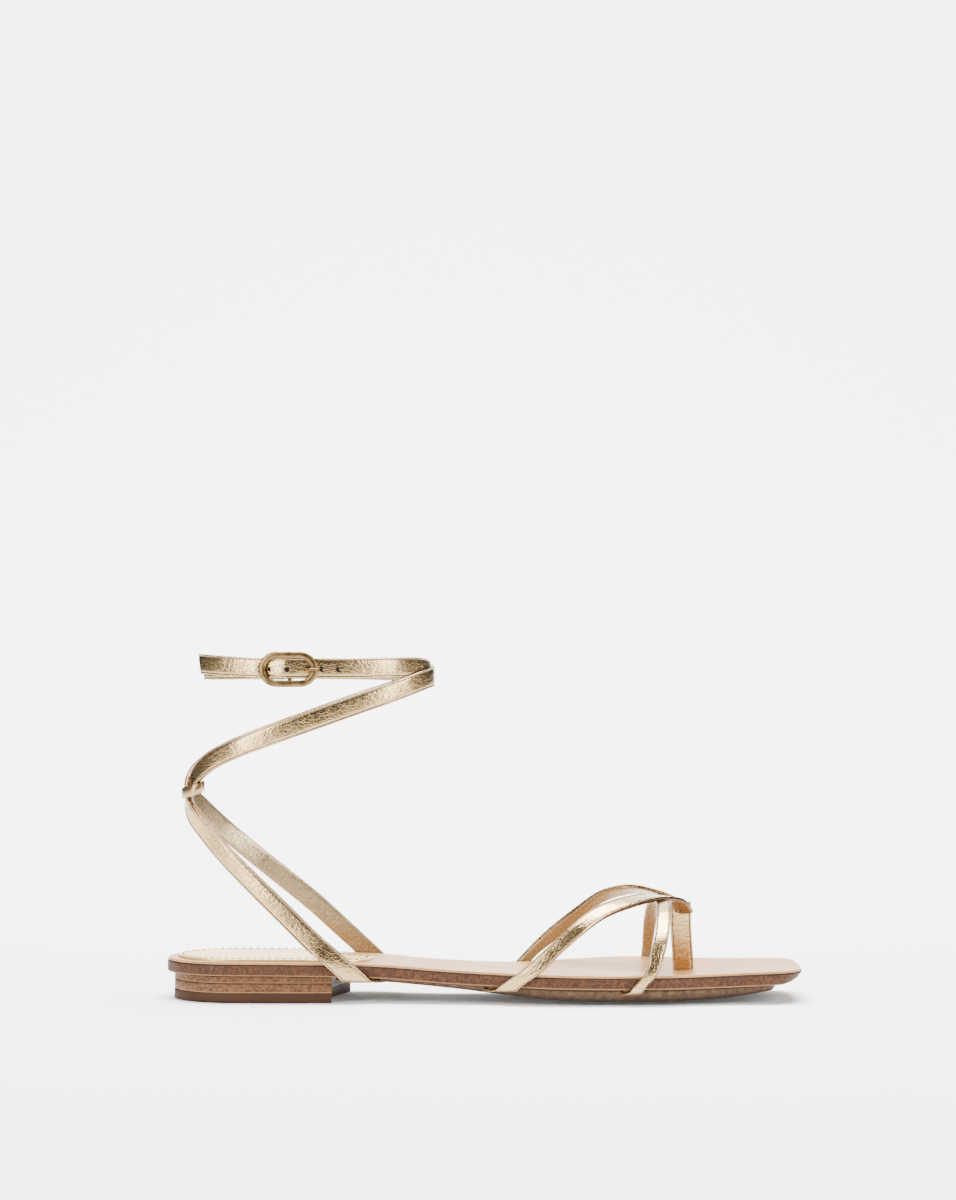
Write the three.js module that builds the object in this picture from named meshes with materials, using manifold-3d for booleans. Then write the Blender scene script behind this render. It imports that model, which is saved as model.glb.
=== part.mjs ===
// Right-foot flat sandal with crossing forefoot straps, a toe post and an ankle wrap.
// Millimetres, +Z up, +X towards the toe, +Y towards the inner (medial) side of the foot.
import * as THREE from 'three';
import Module from 'manifold-3d';

const wasm = await Module();
wasm.setup();

// Sole
const soleLength = 254;
const ballWidth = 85;
const rimHeight = 16.4;          // top edge of the insole above the floor at the heel
const cupDepth = 3.0;            // how far the ball of the foot sits below the sole's edges
const insoleThickness = 0.9;
const insoleInset = 0.3;
const midsoleThickness = 4.3;
const outsoleThickness = 3.6;
const outsoleInset = 2.2;
const outsoleBack = 0.33 * soleLength;
const outsoleFrontGap = 8.5;
const toeUndercut = 6.4;
const toeUndercutLength = 20;
const heelRoundRadius = 28;
const toeCornerRadius = 12;
const endBow = 1.5;
const layerGap = 0.3;

// Heel
const topPieceHeight = 4.0;
const lowerLiftHeight = 3.9;
const heelInset = 2.4;
const heelLengthLateral = 0.264 * soleLength;
const heelLengthMedial = 0.288 * soleLength;
const breastHollow = 3.6;

// Heel pad
const padThickness = 0.9;
const padMargin = 4.4;
const padLengthLateral = 0.325 * soleLength;
const padLengthMedial = 0.28 * soleLength;

// Straps
const strapThickness = 1.8;
const ankleStrapWidth = 8.0;
const footStrapWidth = 7.4;
const toeBandWidth = 6.0;
const toePostWidth = 8.5;
const strapTuck = 4.0;
const strapClearance = 0.3;
const strapAboveRim = 1.4;       // how far a strap follows the wall past the rim
const wallSlack = 0.45; // what a flat strap needs over the curve of the sole's wall
const ankleRise = 116.6;         // centre of the top strap above the insole
const instepRise = 30;           // the forefoot straps above the sole's edge
const crossingOffset = 0.42 * strapThickness;

// Ankle loop, an oval seen from above
const loopLength = 91.6;
const loopWidth = 52;
const loopBack = 0.055 * soleLength;
const loopCentre = loopBack + loopLength / 2;

// Buckle
const buckleLength = 23;
const buckleHeight = 14;
const buckleBand = 2.2;
const buckleThickness = 1.8;
const buckleAlong = 0.142 * soleLength;   // from the front of the oval's centre to the bar, backwards
const barRadius = 0.9;
const prongRadius = 0.75;
const prongReach = 11.4;
const holeReach = 6.2;
const holePitch = 6.6;
const holeRadius = 0.8;
const eyeWall = 1.0;
const buckleUp = 0.9905;
const tailLift = strapThickness / 2 + layerGap / 2;

// Keeper
const keeperHeight = 4.4;
const keeperWall = 1.1;

// Mesh density
const soleRows = 30;
const rowCrowding = 0.5;
const soleColumns = 8;
const strapStep = 5.6;
const weldDecimals = 2;

// Half widths and rim height along the sole, as shares of its length, the ball width and
// the rim height at the heel. cup is the share of cupDepth.
const soleForm = [
  { along: 0.00, lateral: 0.330, medial: 0.316, rim: 1.000, cup: 0 },
  { along: 0.13, lateral: 0.337, medial: 0.318, rim: 1.000, cup: 0 },
  { along: 0.21, lateral: 0.345, medial: 0.302, rim: 0.995, cup: 0 },
  { along: 0.33, lateral: 0.320, medial: 0.240, rim: 0.945, cup: 0 },
  { along: 0.445, lateral: 0.352, medial: 0.168, rim: 0.829, cup: 0 },
  { along: 0.54, lateral: 0.390, medial: 0.203, rim: 0.762, cup: 0.25 },
  { along: 0.61, lateral: 0.440, medial: 0.345, rim: 0.742, cup: 0.7 },
  { along: 0.685, lateral: 0.452, medial: 0.505, rim: 0.732, cup: 1 },
  { along: 0.735, lateral: 0.447, medial: 0.548, rim: 0.732, cup: 1 },
  { along: 0.79, lateral: 0.430, medial: 0.521, rim: 0.732, cup: 1 },
  { along: 0.845, lateral: 0.395, medial: 0.450, rim: 0.744, cup: 0.85 },
  { along: 0.92, lateral: 0.372, medial: 0.355, rim: 0.780, cup: 0.5 },
  { along: 1.00, lateral: 0.345, medial: 0.290, rim: 0.820, cup: 0.3 },
];

// Share of outsoleThickness along the sole.
const outsoleForm = [
  { along: 0.33, thick: 0.30 },
  { along: 0.45, thick: 0.45 },
  { along: 0.60, thick: 1.00 },
  { along: 0.86, thick: 1.00 },
  { along: 0.97, thick: 0.32 },
];

// The ankle straps. along: from the back of the oval, share of its length. across: share of
// its half width. up: share of the rise from the rim to the top strap.
const lateralHeelWrap = [
  { along: 0.502, across: 1.085, up: 0.063 },
  { along: 0.378, across: 0.969, up: 0.156 },
  { along: 0.246, across: 0.831, up: 0.254 },
  { along: 0.111, across: 0.638, up: 0.356 },
  { along: 0.022, across: 0.431, up: 0.431 },
  { along: -0.037, across: 0.238, up: 0.494, layer: 1 },
  { along: -0.061, across: 0.000, up: 0.567, layer: 1 },
];
const medialHeelWrap = [
  { along: 0.611, across: 0.869, up: 0.075 },
  { along: 0.479, across: 0.854, up: 0.170 },
  { along: 0.346, across: 0.800, up: 0.256 },
  { along: 0.214, across: 0.715, up: 0.341 },
  { along: 0.085, across: 0.546, up: 0.431 },
  { along: -0.016, across: 0.269, up: 0.513, layer: -1 },
  { along: -0.061, across: 0.000, up: 0.567, layer: -1 },
];
const ankleDiagonal = [
  { along: -0.031, across: 0.231, up: 0.624, layer: 1 },
  { along: 0.039, across: 0.442, up: 0.672 },
  { along: 0.142, across: 0.731, up: 0.715 },
  { along: 0.306, across: 0.938, up: 0.765 },
  { along: 0.502, across: 1.000, up: 0.820 },
  { along: 0.699, across: 0.915, up: 0.875 },
  { along: 0.852, across: 0.715, up: 0.916 },
];
const frontOutside = [
  { along: 0.955, across: -0.408, up: 0.949, layer: 1 },
  { along: 1.000, across: 0.000, up: 0.964, layer: 1 },
];
const frontInside = [
  { along: 0.955, across: 0.408, up: 0.957, layer: -1 },
  { along: 1.000, across: 0.000, up: 0.980, layer: -1 },
];

// Top strap: angle round the oval from its front towards the outer side, lift in strap
// thicknesses, up as above.
const topStrapNear = [
  { angle: 24, lift: -0.40, up: 0.994 },
  { angle: 46, lift: 0.10, up: 0.996 },
  { angle: 72, lift: 0.45, up: 0.994 },
];
const tailRows = [
  { angle: 122, lift: 0.60, up: 0.996 },
  { angle: 146, lift: 0.62, up: 1.002 },
  { angle: 160, lift: 0.64, up: 1.005 },
  { angle: 168, lift: 0.66, up: 1.006 },
];
const topStrapFar = [
  { angle: -24, lift: 0.30, up: 0.974 },
  { angle: -60, lift: 0.0, up: 0.980 },
  { angle: -100, lift: 0.0, up: 0.983 },
  { angle: -140, lift: -0.30, up: 0.985 },
  { angle: -165, lift: -0.58, up: 0.985 },
  { angle: -190, lift: -0.60, up: 0.986 },
  { angle: -212, lift: -0.60, up: 0.987 },
  { angle: -236, lift: -0.60, up: 0.989 },
];

// The forefoot straps. along: share of the sole's length. across: share of the ball width.
// up: share of the instep rise above the lowest rim.
const lateralInstep = [
  { along: 0.609, across: -0.426, up: 0.333 },
  { along: 0.644, across: -0.406, up: 0.593 },
  { along: 0.679, across: -0.341, up: 0.793 },
  { along: 0.728, across: -0.212, up: 0.917 },
  { along: 0.777, across: -0.035, up: 0.933 },
  { along: 0.807, across: 0.073, up: 0.853 },
  { along: 0.821, across: 0.136, up: 0.747 },
];
const medialInstep = [
  { along: 0.606, across: 0.313, up: 0.380 },
  { along: 0.650, across: 0.348, up: 0.647 },
  { along: 0.693, across: 0.348, up: 0.873 },
  { along: 0.735, across: 0.318, up: 0.967 },
  { along: 0.778, across: 0.235, up: 0.940 },
  { along: 0.806, across: 0.179, up: 0.860 },
  { along: 0.819, across: 0.148, up: 0.753 },
];
const toeBand = [
  { along: 0.766, across: -0.428, up: 0.250 },
  { along: 0.775, across: -0.371, up: 0.500 },
  { along: 0.780, across: -0.235, up: 0.763 },
  { along: 0.781, across: -0.094, up: 0.870 },
  { along: 0.780, across: 0.071, up: 0.893 },
  { along: 0.778, across: 0.224, up: 0.877 },
  { along: 0.772, across: 0.334, up: 0.753 },
  { along: 0.769, across: 0.454, up: 0.500 },
];
const toePost = [
  { along: 0.818, across: 0.167, up: -0.183 },
  { along: 0.817, across: 0.165, up: 0.067 },
  { along: 0.813, across: 0.155, up: 0.467 },
  { along: 0.813, across: 0.148, up: 0.753 },
];

// Where each strap meets the sole's wall: side (-1 outer, 1 inner), share of the sole's
// length at the rim, and lean, the forward run for each millimetre of rise.
const feet = {
  lateralHeel: { side: -1, along: 0.272, lean: -1.12 },
  medialHeel: { side: 1, along: 0.315, lean: -1.08 },
  lateralInstep: { side: -1, along: 0.567, lean: 1.33 },
  medialInstep: { side: 1, along: 0.567, lean: 0.9 },
  toeBandLateral: { side: -1, along: 0.753, lean: 0.85 },
  toeBandMedial: { side: 1, along: 0.763, lean: 0.18 },
};

// Rounded strap section: a is the share of the half width, b of the half thickness.
const strapSection = [
  { a: 1.0, b: 0.35 },
  { a: 0.87, b: 1.0 },
  { a: -0.87, b: 1.0 },
  { a: -1.0, b: 0.35 },
  { a: -1.0, b: -0.35 },
  { a: -0.87, b: -1.0 },
  { a: 0.87, b: -1.0 },
  { a: 1.0, b: -0.35 },
];

// A smooth curve through one column of a table.
function columnAt(table, column, along) {
  const last = table.length - 1;
  const t = Math.min(Math.max(along, table[0].along), table[last].along);
  let i = 0;
  while (i < last - 1 && table[i + 1].along < t) i += 1;
  const slope = (k) => {
    const before = Math.max(k - 1, 0);
    const after = Math.min(k + 1, last);
    return (table[after][column] - table[before][column]) / (table[after].along - table[before].along);
  };
  const step = table[i + 1].along - table[i].along;
  const s = (t - table[i].along) / step;
  const h = 1 - s;
  return table[i][column] * h * h * (1 + 2 * s) + table[i + 1][column] * s * s * (3 - 2 * s)
    + step * h * s * (slope(i) * h - slope(i + 1) * s);
}

// Half width of the sole on one side at x, rounded at heel and toe.
function halfWidth(side, x) {
  const column = side < 0 ? 'lateral' : 'medial';
  const flank = ballWidth * columnAt(soleForm, column, x / soleLength);
  const heelShare = Math.max(0, 1 - x / heelRoundRadius);
  const toeShare = Math.max(0, 1 - (soleLength - x) / toeCornerRadius);
  const heelRound = Math.sqrt(Math.max(0, 1 - heelShare ** 2));
  const toeRound = Math.cbrt(Math.max(0, 1 - toeShare ** 3));
  return flank * heelRound * toeRound;
}

function rimAt(x) {
  return rimHeight * columnAt(soleForm, 'rim', x / soleLength);
}

function cupAt(x, y) {
  const lateral = halfWidth(-1, x);
  const medial = halfWidth(1, x);
  const middle = (medial - lateral) / 2;
  const share = Math.min(1, Math.abs(y - middle) / ((medial + lateral) / 2 + 0.001));
  return cupDepth * columnAt(soleForm, 'cup', x / soleLength) * (1 - share ** 2);
}

function insoleTop(x, y) {
  return rimAt(x) - cupAt(x, y);
}

function midsoleBottom(x, y) {
  return insoleTop(x, y) - insoleThickness - layerGap - midsoleThickness;
}

// Closed geometry from shared corners and triangles.
function closedGeometry(corners, triangles) {
  const geometry = new THREE.BufferGeometry();
  geometry.setAttribute('position', new THREE.Float32BufferAttribute(corners.flat(), 3));
  geometry.setIndex(triangles.flat());
  return geometry;
}

function toSolid(geometry) {
  return new wasm.Manifold(new wasm.Mesh({
    numProp: 3,
    vertProperties: new Float32Array(geometry.attributes.position.array),
    triVerts: new Uint32Array(geometry.index.array),
  }));
}

function toGeometry(solid) {
  const mesh = solid.getMesh();
  const geometry = new THREE.BufferGeometry();
  geometry.setAttribute('position', new THREE.BufferAttribute(mesh.vertProperties, 3));
  geometry.setIndex(new THREE.BufferAttribute(mesh.triVerts, 1));
  return welded(geometry, weldDecimals);
}

// Joins corners that lie on one spot and drops the triangles that this closes up.
function welded(geometry, decimals) {
  const places = new Map();
  const corners = [];
  const faces = new Map();
  const source = geometry.attributes.position;
  const count = geometry.index ? geometry.index.count : source.count;
  const ids = [];
  for (let k = 0; k < count; k += 1) {
    const i = geometry.index ? geometry.index.getX(k) : k;
    const corner = [source.getX(i), source.getY(i), source.getZ(i)];
    const key = corner.map((value) => value.toFixed(decimals)).join(' ');
    if (!places.has(key)) {
      places.set(key, corners.length);
      corners.push(corner);
    }
    ids.push(places.get(key));
  }
  for (let k = 0; k < ids.length; k += 3) {
    const face = ids.slice(k, k + 3);
    const key = [...face].sort((a, b) => a - b).join(' ');
    const flat = new Set(face).size < 3;
    if (faces.has(key)) faces.delete(key);
    else if (!flat) faces.set(key, face);
  }
  return closedGeometry(corners, [...faces.values()]);
}

// A layer of the sole. Rows run from start to end, columns from the outer to the inner edge.
// levels go from the top down, each with its inset at x and its height at x, y.
function soleLayer({ start, endLateral, endMedial, startBow, endBow: bow, outline, rows, columns, levels }) {
  const crowd = (u) => u - rowCrowding * Math.sin(2 * Math.PI * u) / (2 * Math.PI);
  const edgePoint = (side, u, inset) => {
    const end = side < 0 ? endLateral : endMedial;
    const x = start + (end - start) * crowd(u);
    const half = outline(side, x, u);
    const slope = (outline(side, x + 0.1, u) - outline(side, x - 0.1, u)) / 0.2;
    const tilt = Math.hypot(1, slope);
    const depth = inset(x);
    return { x: x + depth * slope / tilt, y: side * (half - depth / tilt) };
  };
  const spot = (u, v, level) => {
    const outer = edgePoint(-1, u, level.inset);
    const inner = edgePoint(1, u, level.inset);
    const w = (v + 1) / 2;
    const f = crowd(u);
    const bulge = (bow * Math.max(0, 1 - 8 * (1 - f)) ** 2 - startBow * Math.max(0, 1 - 8 * f) ** 2);
    const x = outer.x + (inner.x - outer.x) * w + bulge * (1 - v * v);
    const y = outer.y + (inner.y - outer.y) * w;
    return [x, y, level.height(x, y)];
  };
  const corners = [];
  const triangles = [];
  const grid = (level) => {
    const first = corners.length;
    for (let i = 0; i <= rows; i += 1) {
      for (let j = 0; j <= columns; j += 1) {
        corners.push(spot(i / rows, 2 * j / columns - 1, level));
      }
    }
    return (i, j) => first + i * (columns + 1) + j;
  };
  const border = [];
  for (let i = 0; i < rows; i += 1) border.push([i, 0]);
  for (let j = 0; j < columns; j += 1) border.push([rows, j]);
  for (let i = rows; i > 0; i -= 1) border.push([i, columns]);
  for (let j = columns; j > 0; j -= 1) border.push([0, j]);
  const topIndex = grid(levels[0]);
  const bottomIndex = grid(levels[levels.length - 1]);
  for (let i = 0; i < rows; i += 1) {
    for (let j = 0; j < columns; j += 1) {
      const quad = (index) => [index(i, j), index(i + 1, j), index(i + 1, j + 1), index(i, j + 1)];
      const [a, b, c, d] = quad(topIndex);
      triangles.push([a, b, c], [a, c, d]);
      const [e, f, g, h] = quad(bottomIndex);
      triangles.push([e, g, f], [e, h, g]);
    }
  }
  const rings = levels.map((level, k) => {
    if (k === 0) return border.map(([i, j]) => topIndex(i, j));
    if (k === levels.length - 1) return border.map(([i, j]) => bottomIndex(i, j));
    return border.map(([i, j]) => corners.push(spot(i / rows, 2 * j / columns - 1, level)) - 1);
  });
  for (let k = 0; k + 1 < rings.length; k += 1) {
    const count = border.length;
    for (let m = 0; m < count; m += 1) {
      const n = (m + 1) % count;
      triangles.push([rings[k][m], rings[k + 1][m], rings[k + 1][n]]);
      triangles.push([rings[k][m], rings[k + 1][n], rings[k][n]]);
    }
  }
  return closedGeometry(corners, triangles);
}

// A strap swept through rows of { p, w, n }: centre, half width vector, outward unit normal.
// grow makes it larger all round, its ends included.
function strapGeometry(route, width, thickness, grow) {
  const vectors = (key) => new THREE.CatmullRomCurve3(route.map((row) => row[key]), false, 'catmullrom', 0.5);
  const centre = new THREE.CatmullRomCurve3(route.map((row) => row.p), false, 'centripetal');
  const widths = vectors('w');
  const normals = vectors('n');
  const stations = [];
  for (let i = 0; i + 1 < route.length; i += 1) {
    const steps = Math.max(route[i].fine ? 2 : 1, Math.round(route[i].p.distanceTo(route[i + 1].p) / strapStep));
    for (let k = 0; k < steps; k += 1) stations.push((i + k / steps) / (route.length - 1));
  }
  stations.push(1);
  const corners = [];
  const triangles = [];
  const sides = strapSection.length;
  for (const t of stations) {
    const reach = t === 0 ? -grow : t === 1 ? grow : 0;
    const p = centre.getPoint(t).addScaledVector(centre.getTangent(t), reach);
    const w = widths.getPoint(t);
    const n = normals.getPoint(t).normalize();
    for (const { a, b } of strapSection) {
      const corner = p.clone().addScaledVector(w, a * (width / 2 + grow));
      corner.addScaledVector(n, b * (thickness / 2 + grow));
      corners.push(corner.toArray());
    }
  }
  const last = corners.length - sides;
  for (let k = 0; k + sides < corners.length; k += sides) {
    for (let j = 0; j < sides; j += 1) {
      const m = (j + 1) % sides;
      triangles.push([k + j, k + m, k + sides + m], [k + j, k + sides + m, k + sides + j]);
    }
  }
  for (let j = 1; j + 1 < sides; j += 1) {
    triangles.push([0, j + 1, j], [last, last + j, last + j + 1]);
  }
  return facingOut(closedGeometry(corners, triangles));
}

function facingOut(geometry) {
  const corner = geometry.attributes.position;
  const index = geometry.index;
  let volume = 0;
  const [a, b, c] = [new THREE.Vector3(), new THREE.Vector3(), new THREE.Vector3()];
  for (let i = 0; i < index.count; i += 3) {
    a.fromBufferAttribute(corner, index.getX(i));
    b.fromBufferAttribute(corner, index.getX(i + 1));
    c.fromBufferAttribute(corner, index.getX(i + 2));
    volume += a.dot(b.cross(c));
  }
  if (volume < 0) {
    const flipped = [];
    for (let i = 0; i < index.count; i += 3) {
      flipped.push(index.getX(i), index.getX(i + 2), index.getX(i + 1));
    }
    geometry.setIndex(flipped);
  }
  return geometry;
}

// Gives free rows their width vectors: across the run and in the strap's own face.
function dressed(route) {
  return route.map((row, i) => {
    const before = route[Math.max(i - 1, 0)].p;
    const after = route[Math.min(i + 1, route.length - 1)].p;
    const run = after.clone().sub(before).normalize();
    const n = row.n.clone().addScaledVector(run, -row.n.dot(run)).normalize();
    const across = run.clone().cross(n).normalize();
    if (!row.w) return { ...row, n, w: across };
    const turned = row.w.dot(across) < 0 ? -1 : 1;
    return { ...row, n: row.n.clone().normalize(), w: row.w.clone().multiplyScalar(turned) };
  });
}

// Outward normal of the oval ankle form at a point.
function ankleNormal(x, y) {
  const long = (x - loopCentre) / (loopLength / 2) ** 2;
  const wide = y / (loopWidth / 2) ** 2;
  return new THREE.Vector3(long, wide, 0).normalize();
}

function ankleRow({ along, across, up, layer = 0 }, side) {
  const x = loopBack + along * loopLength;
  const y = side * across * loopWidth / 2;
  const n = ankleNormal(x, y);
  const p = new THREE.Vector3(x, y, rimHeight + up * ankleRise);
  return { p: p.addScaledVector(n, layer * crossingOffset), n };
}

// A place beside the oval: s along it from an angle, lift outward, z up.
function ovalPlace(angle, s, lift, z) {
  const long = loopLength / 2;
  const wide = loopWidth / 2;
  let phi = THREE.MathUtils.degToRad(angle);
  const steps = 24;
  for (let k = 0; k < steps; k += 1) {
    phi -= s / steps / Math.hypot(long * Math.sin(phi), wide * Math.cos(phi));
  }
  const x = loopCentre + long * Math.cos(phi);
  const y = -wide * Math.sin(phi);
  const n = ankleNormal(x, y);
  return { p: new THREE.Vector3(x, y, z).addScaledVector(n, lift), n };
}

const topStrapHeight = (up) => rimHeight + up * ankleRise;

function ovalRow({ angle, lift, up }) {
  return ovalPlace(angle, 0, lift * strapThickness, topStrapHeight(up));
}

const barAngle = THREE.MathUtils.radToDeg(
  Math.acos((loopBack + buckleAlong - loopCentre) / (loopLength / 2)),
);
const buckleZ = topStrapHeight(buckleUp);
const barLift = -tailLift;
const eyeInner = barRadius + strapClearance;
const eyeOuter = eyeInner + eyeWall;
const tailOverBar = barLift + eyeOuter + layerGap + strapThickness / 2;

// A place by the buckle: s forward of the bar along the oval, lift outward, z above its centre.
function buckleSpot(s, lift, z) {
  return ovalPlace(barAngle, s, lift, buckleZ + z);
}

// Rows that tuck a strap's end under the sole, fold it round the bottom edge and run up the wall.
function wallFoot({ side, along, lean }) {
  const rimX = along * soleLength;
  const wallHeight = insoleThickness + layerGap + midsoleThickness;
  const stretch = Math.hypot(1, lean);
  const out = strapClearance + wallSlack + strapThickness / 2;
  const place = (drop, depth, outward, down) => {
    const x = rimX - lean * (drop + depth);
    const slope = (halfWidth(side, x + 0.5) - halfWidth(side, x - 0.5));
    const alongWall = new THREE.Vector3(1, side * slope, 0).normalize();
    const wallNormal = new THREE.Vector3(-slope, side, 0).normalize();
    const p = new THREE.Vector3(x, side * halfWidth(side, x), rimAt(x) - drop);
    p.addScaledVector(wallNormal, out - depth);
    const n = wallNormal.clone().multiplyScalar(outward).add(new THREE.Vector3(0, 0, -down));
    return { p, w: alongWall.multiplyScalar(stretch), n: n.normalize(), fine: true };
  };
  return [
    place(wallHeight + out, strapTuck + out, 0, 1),
    place(wallHeight + out, out + 0.4, 0.15, 1),
    place(wallHeight + 0.55 * out, 0.25 * out, 0.75, 0.75),
    place(wallHeight - 0.8, 0, 1, 0),
    place(-strapAboveRim, 0, 1, 0),
  ];
}

// Outward normal of the forefoot at a point: a long form, wider than it is high.
function instepNormal(p) {
  const formHalfWidth = 0.45 * ballWidth;
  const formHeight = 0.39 * ballWidth;
  const y = (p.y - 0.047 * ballWidth) / formHalfWidth ** 2;
  const z = (p.z - 0.6 * rimHeight) / formHeight ** 2;
  return new THREE.Vector3(0, y, z).normalize();
}

function forefootRow({ along, across, up }) {
  const lowestRim = 0.732 * rimHeight;
  const p = new THREE.Vector3(along * soleLength, across * ballWidth, lowestRim + up * instepRise);
  return { p, n: instepNormal(p) };
}

function postRow(row) {
  return { ...forefootRow(row), n: new THREE.Vector3(0, -1, 0) };
}

// Straps of the forefoot
const forefootRoutes = [
  { width: footStrapWidth, rows: [...wallFoot(feet.lateralInstep), ...lateralInstep.map(forefootRow)] },
  { width: footStrapWidth, rows: [...wallFoot(feet.medialInstep), ...medialInstep.map(forefootRow)] },
  {
    width: toeBandWidth,
    rows: [
      ...wallFoot(feet.toeBandLateral),
      ...toeBand.map(forefootRow),
      ...wallFoot(feet.toeBandMedial).reverse(),
    ],
  },
  { width: toePostWidth, rows: toePost.map(postRow) },
];

// Straps of the ankle
const lateralAnkleRows = [
  ...wallFoot(feet.lateralHeel),
  ...lateralHeelWrap.map((row) => ankleRow(row, -1)),
  ...ankleDiagonal.map((row) => ankleRow(row, 1)),
  ...frontInside.map((row) => ankleRow(row, 1)),
  ...topStrapNear.map(ovalRow),
  buckleSpot(holeReach + 3, tailLift, 0.5),
  buckleSpot(0.8 * eyeOuter, tailOverBar, 0.5),
  buckleSpot(-0.8 * eyeOuter, tailOverBar, 0.5),
  buckleSpot(-holeReach - 3, tailLift, 0.5),
  ...tailRows.map(ovalRow),
];
const medialAnkleRows = [
  ...wallFoot(feet.medialHeel),
  ...medialHeelWrap.map((row) => ankleRow(row, 1)),
  ...ankleDiagonal.map((row) => ankleRow({ ...row, layer: -(row.layer ?? 0) }, -1)),
  ...frontOutside.map((row) => ankleRow(row, 1)),
  ...topStrapFar.map(ovalRow),
  buckleSpot(-(eyeInner + 0.5 * eyeWall), barLift, -0.2),
];

const ankleRoutes = [
  { width: ankleStrapWidth, rows: lateralAnkleRows },
  { width: ankleStrapWidth, rows: medialAnkleRows },
];

// The outer skin of a join, without pockets sealed between crossing straps.
function withoutVoids(solid) {
  return solid.decompose().reduce((most, piece) => (piece.volume() > most.volume() ? piece : most));
}

function straps(routes, grow) {
  const solids = routes.map(({ width, rows }) => {
    return toSolid(strapGeometry(dressed(rows), width, strapThickness, grow));
  });
  return withoutVoids(solids.reduce((joined, solid) => joined.add(solid)));
}

const forefoot = straps(forefootRoutes, 0);

// The room that the straps need, which cuts the pockets in the sole's layers.
const postRoom = straps(forefootRoutes.slice(-1), strapClearance);
const tuckRooms = [
  { width: ankleStrapWidth, rows: wallFoot(feet.lateralHeel) },
  { width: ankleStrapWidth, rows: wallFoot(feet.medialHeel) },
  { width: footStrapWidth, rows: wallFoot(feet.lateralInstep) },
  { width: footStrapWidth, rows: wallFoot(feet.medialInstep) },
  { width: toeBandWidth, rows: wallFoot(feet.toeBandLateral) },
  { width: toeBandWidth, rows: wallFoot(feet.toeBandMedial) },
].map((route) => straps([route], strapClearance + wallSlack));
const ankleRoom = straps(ankleRoutes, strapClearance);

// The part of a ring or bar round the buckle's bar, bent to the oval.
function bentTube(points, radius, sides) {
  const curve = new THREE.CatmullRomCurve3(points, false, 'centripetal');
  const shape = new THREE.Shape();
  for (let k = 0; k < sides; k += 1) {
    const turn = 2 * Math.PI * k / sides;
    const x = radius * Math.cos(turn);
    const y = radius * Math.sin(turn);
    if (k === 0) shape.moveTo(x, y);
    else shape.lineTo(x, y);
  }
  shape.closePath();
  return extrudeAlong(shape, curve, 2 * (points.length - 1));
}

function extrudeAlong(shape, curve, steps) {
  const geometry = new THREE.ExtrudeGeometry(shape, { steps, extrudePath: curve, bevelEnabled: false });
  return toSolid(facingOut(welded(geometry, weldDecimals)));
}

// The prong: a ring round the bar and an arm out through the strap and over the frame.
const frameLift = tailLift + strapThickness / 2 + layerGap + buckleThickness / 2;
const prongRing = barRadius + strapClearance + prongRadius;
const overFrame = frameLift + buckleThickness / 2 + layerGap + prongRadius;

function prongSolid(extra) {
  const radius = prongRadius + extra;
  const ring = [];
  const margin = extra / prongRing;
  for (let k = 0; k <= 6; k += 1) {
    const turn = 0.12 - margin + (5.66 + 2 * margin) * k / 6;
    ring.push(buckleSpot(prongRing * Math.cos(turn), barLift - prongRing * Math.sin(turn), 0).p);
  }
  const arm = [
    buckleSpot(prongRing * 0.99, barLift - 0.2, 0).p,
    buckleSpot(0.5 * holeReach, barLift + 0.25 * tailLift, 0).p,
    buckleSpot(0.8 * holeReach, tailLift - 0.6, 0).p,
    buckleSpot(holeReach + 1.2, 0.5 * (tailLift + overFrame), 0).p,
    buckleSpot(buckleLength / 2 - buckleBand, overFrame, 0).p,
    buckleSpot(prongReach, overFrame, 0).p,
  ];
  return bentTube(ring, radius, 6).add(bentTube(arm, radius, 6));
}

// The buckle's frame follows the oval: a stadium ring, two legs and the bar.
function frameSolid() {
  const band = buckleBand;
  const corner = buckleHeight / 2;
  const straight = buckleLength / 2 - corner;
  const arcSteps = 8;
  const corners = [];
  const triangles = [];
  const ringPoints = [];
  for (const end of [1, -1]) {
    for (let k = 0; k <= arcSteps; k += 1) {
      const turn = Math.PI * (k / arcSteps - 0.5);
      ringPoints.push({ s: end * straight, cos: end * Math.cos(turn), sin: end * Math.sin(turn) });
    }
  }
  const section = [
    { r: corner, n: 0.5 },
    { r: corner - 0.5, n: 1 },
    { r: corner - band + 0.5, n: 1 },
    { r: corner - band, n: 0.5 },
    { r: corner - band, n: -0.5 },
    { r: corner - band + 0.5, n: -1 },
    { r: corner - 0.5, n: -1 },
    { r: corner, n: -0.5 },
  ];
  for (const { s, cos, sin } of ringPoints) {
    for (const { r, n } of section) {
      const lift = frameLift + n * buckleThickness / 2;
      corners.push(buckleSpot(s + r * cos, lift, r * sin).p.toArray());
    }
  }
  const sides = section.length;
  for (let i = 0; i < ringPoints.length; i += 1) {
    const next = (i + 1) % ringPoints.length;
    for (let j = 0; j < sides; j += 1) {
      const m = (j + 1) % sides;
      triangles.push([i * sides + j, i * sides + m, next * sides + m]);
      triangles.push([i * sides + j, next * sides + m, next * sides + j]);
    }
  }
  const ring = toSolid(facingOut(closedGeometry(corners, triangles)));
  const legZ = corner - band / 2;
  const leg = (side) => [
    buckleSpot(0, frameLift, side * legZ).p,
    buckleSpot(0, (frameLift + barLift) / 2, side * legZ).p,
    buckleSpot(0, barLift, side * legZ).p,
  ];
  const bar = [-legZ - barRadius, 0, legZ + barRadius].map((z) => buckleSpot(0, barLift, z).p);
  return [leg(1), leg(-1), bar].reduce((joined, path) => joined.add(bentTube(path, barRadius, 8)), ring);
}

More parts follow.
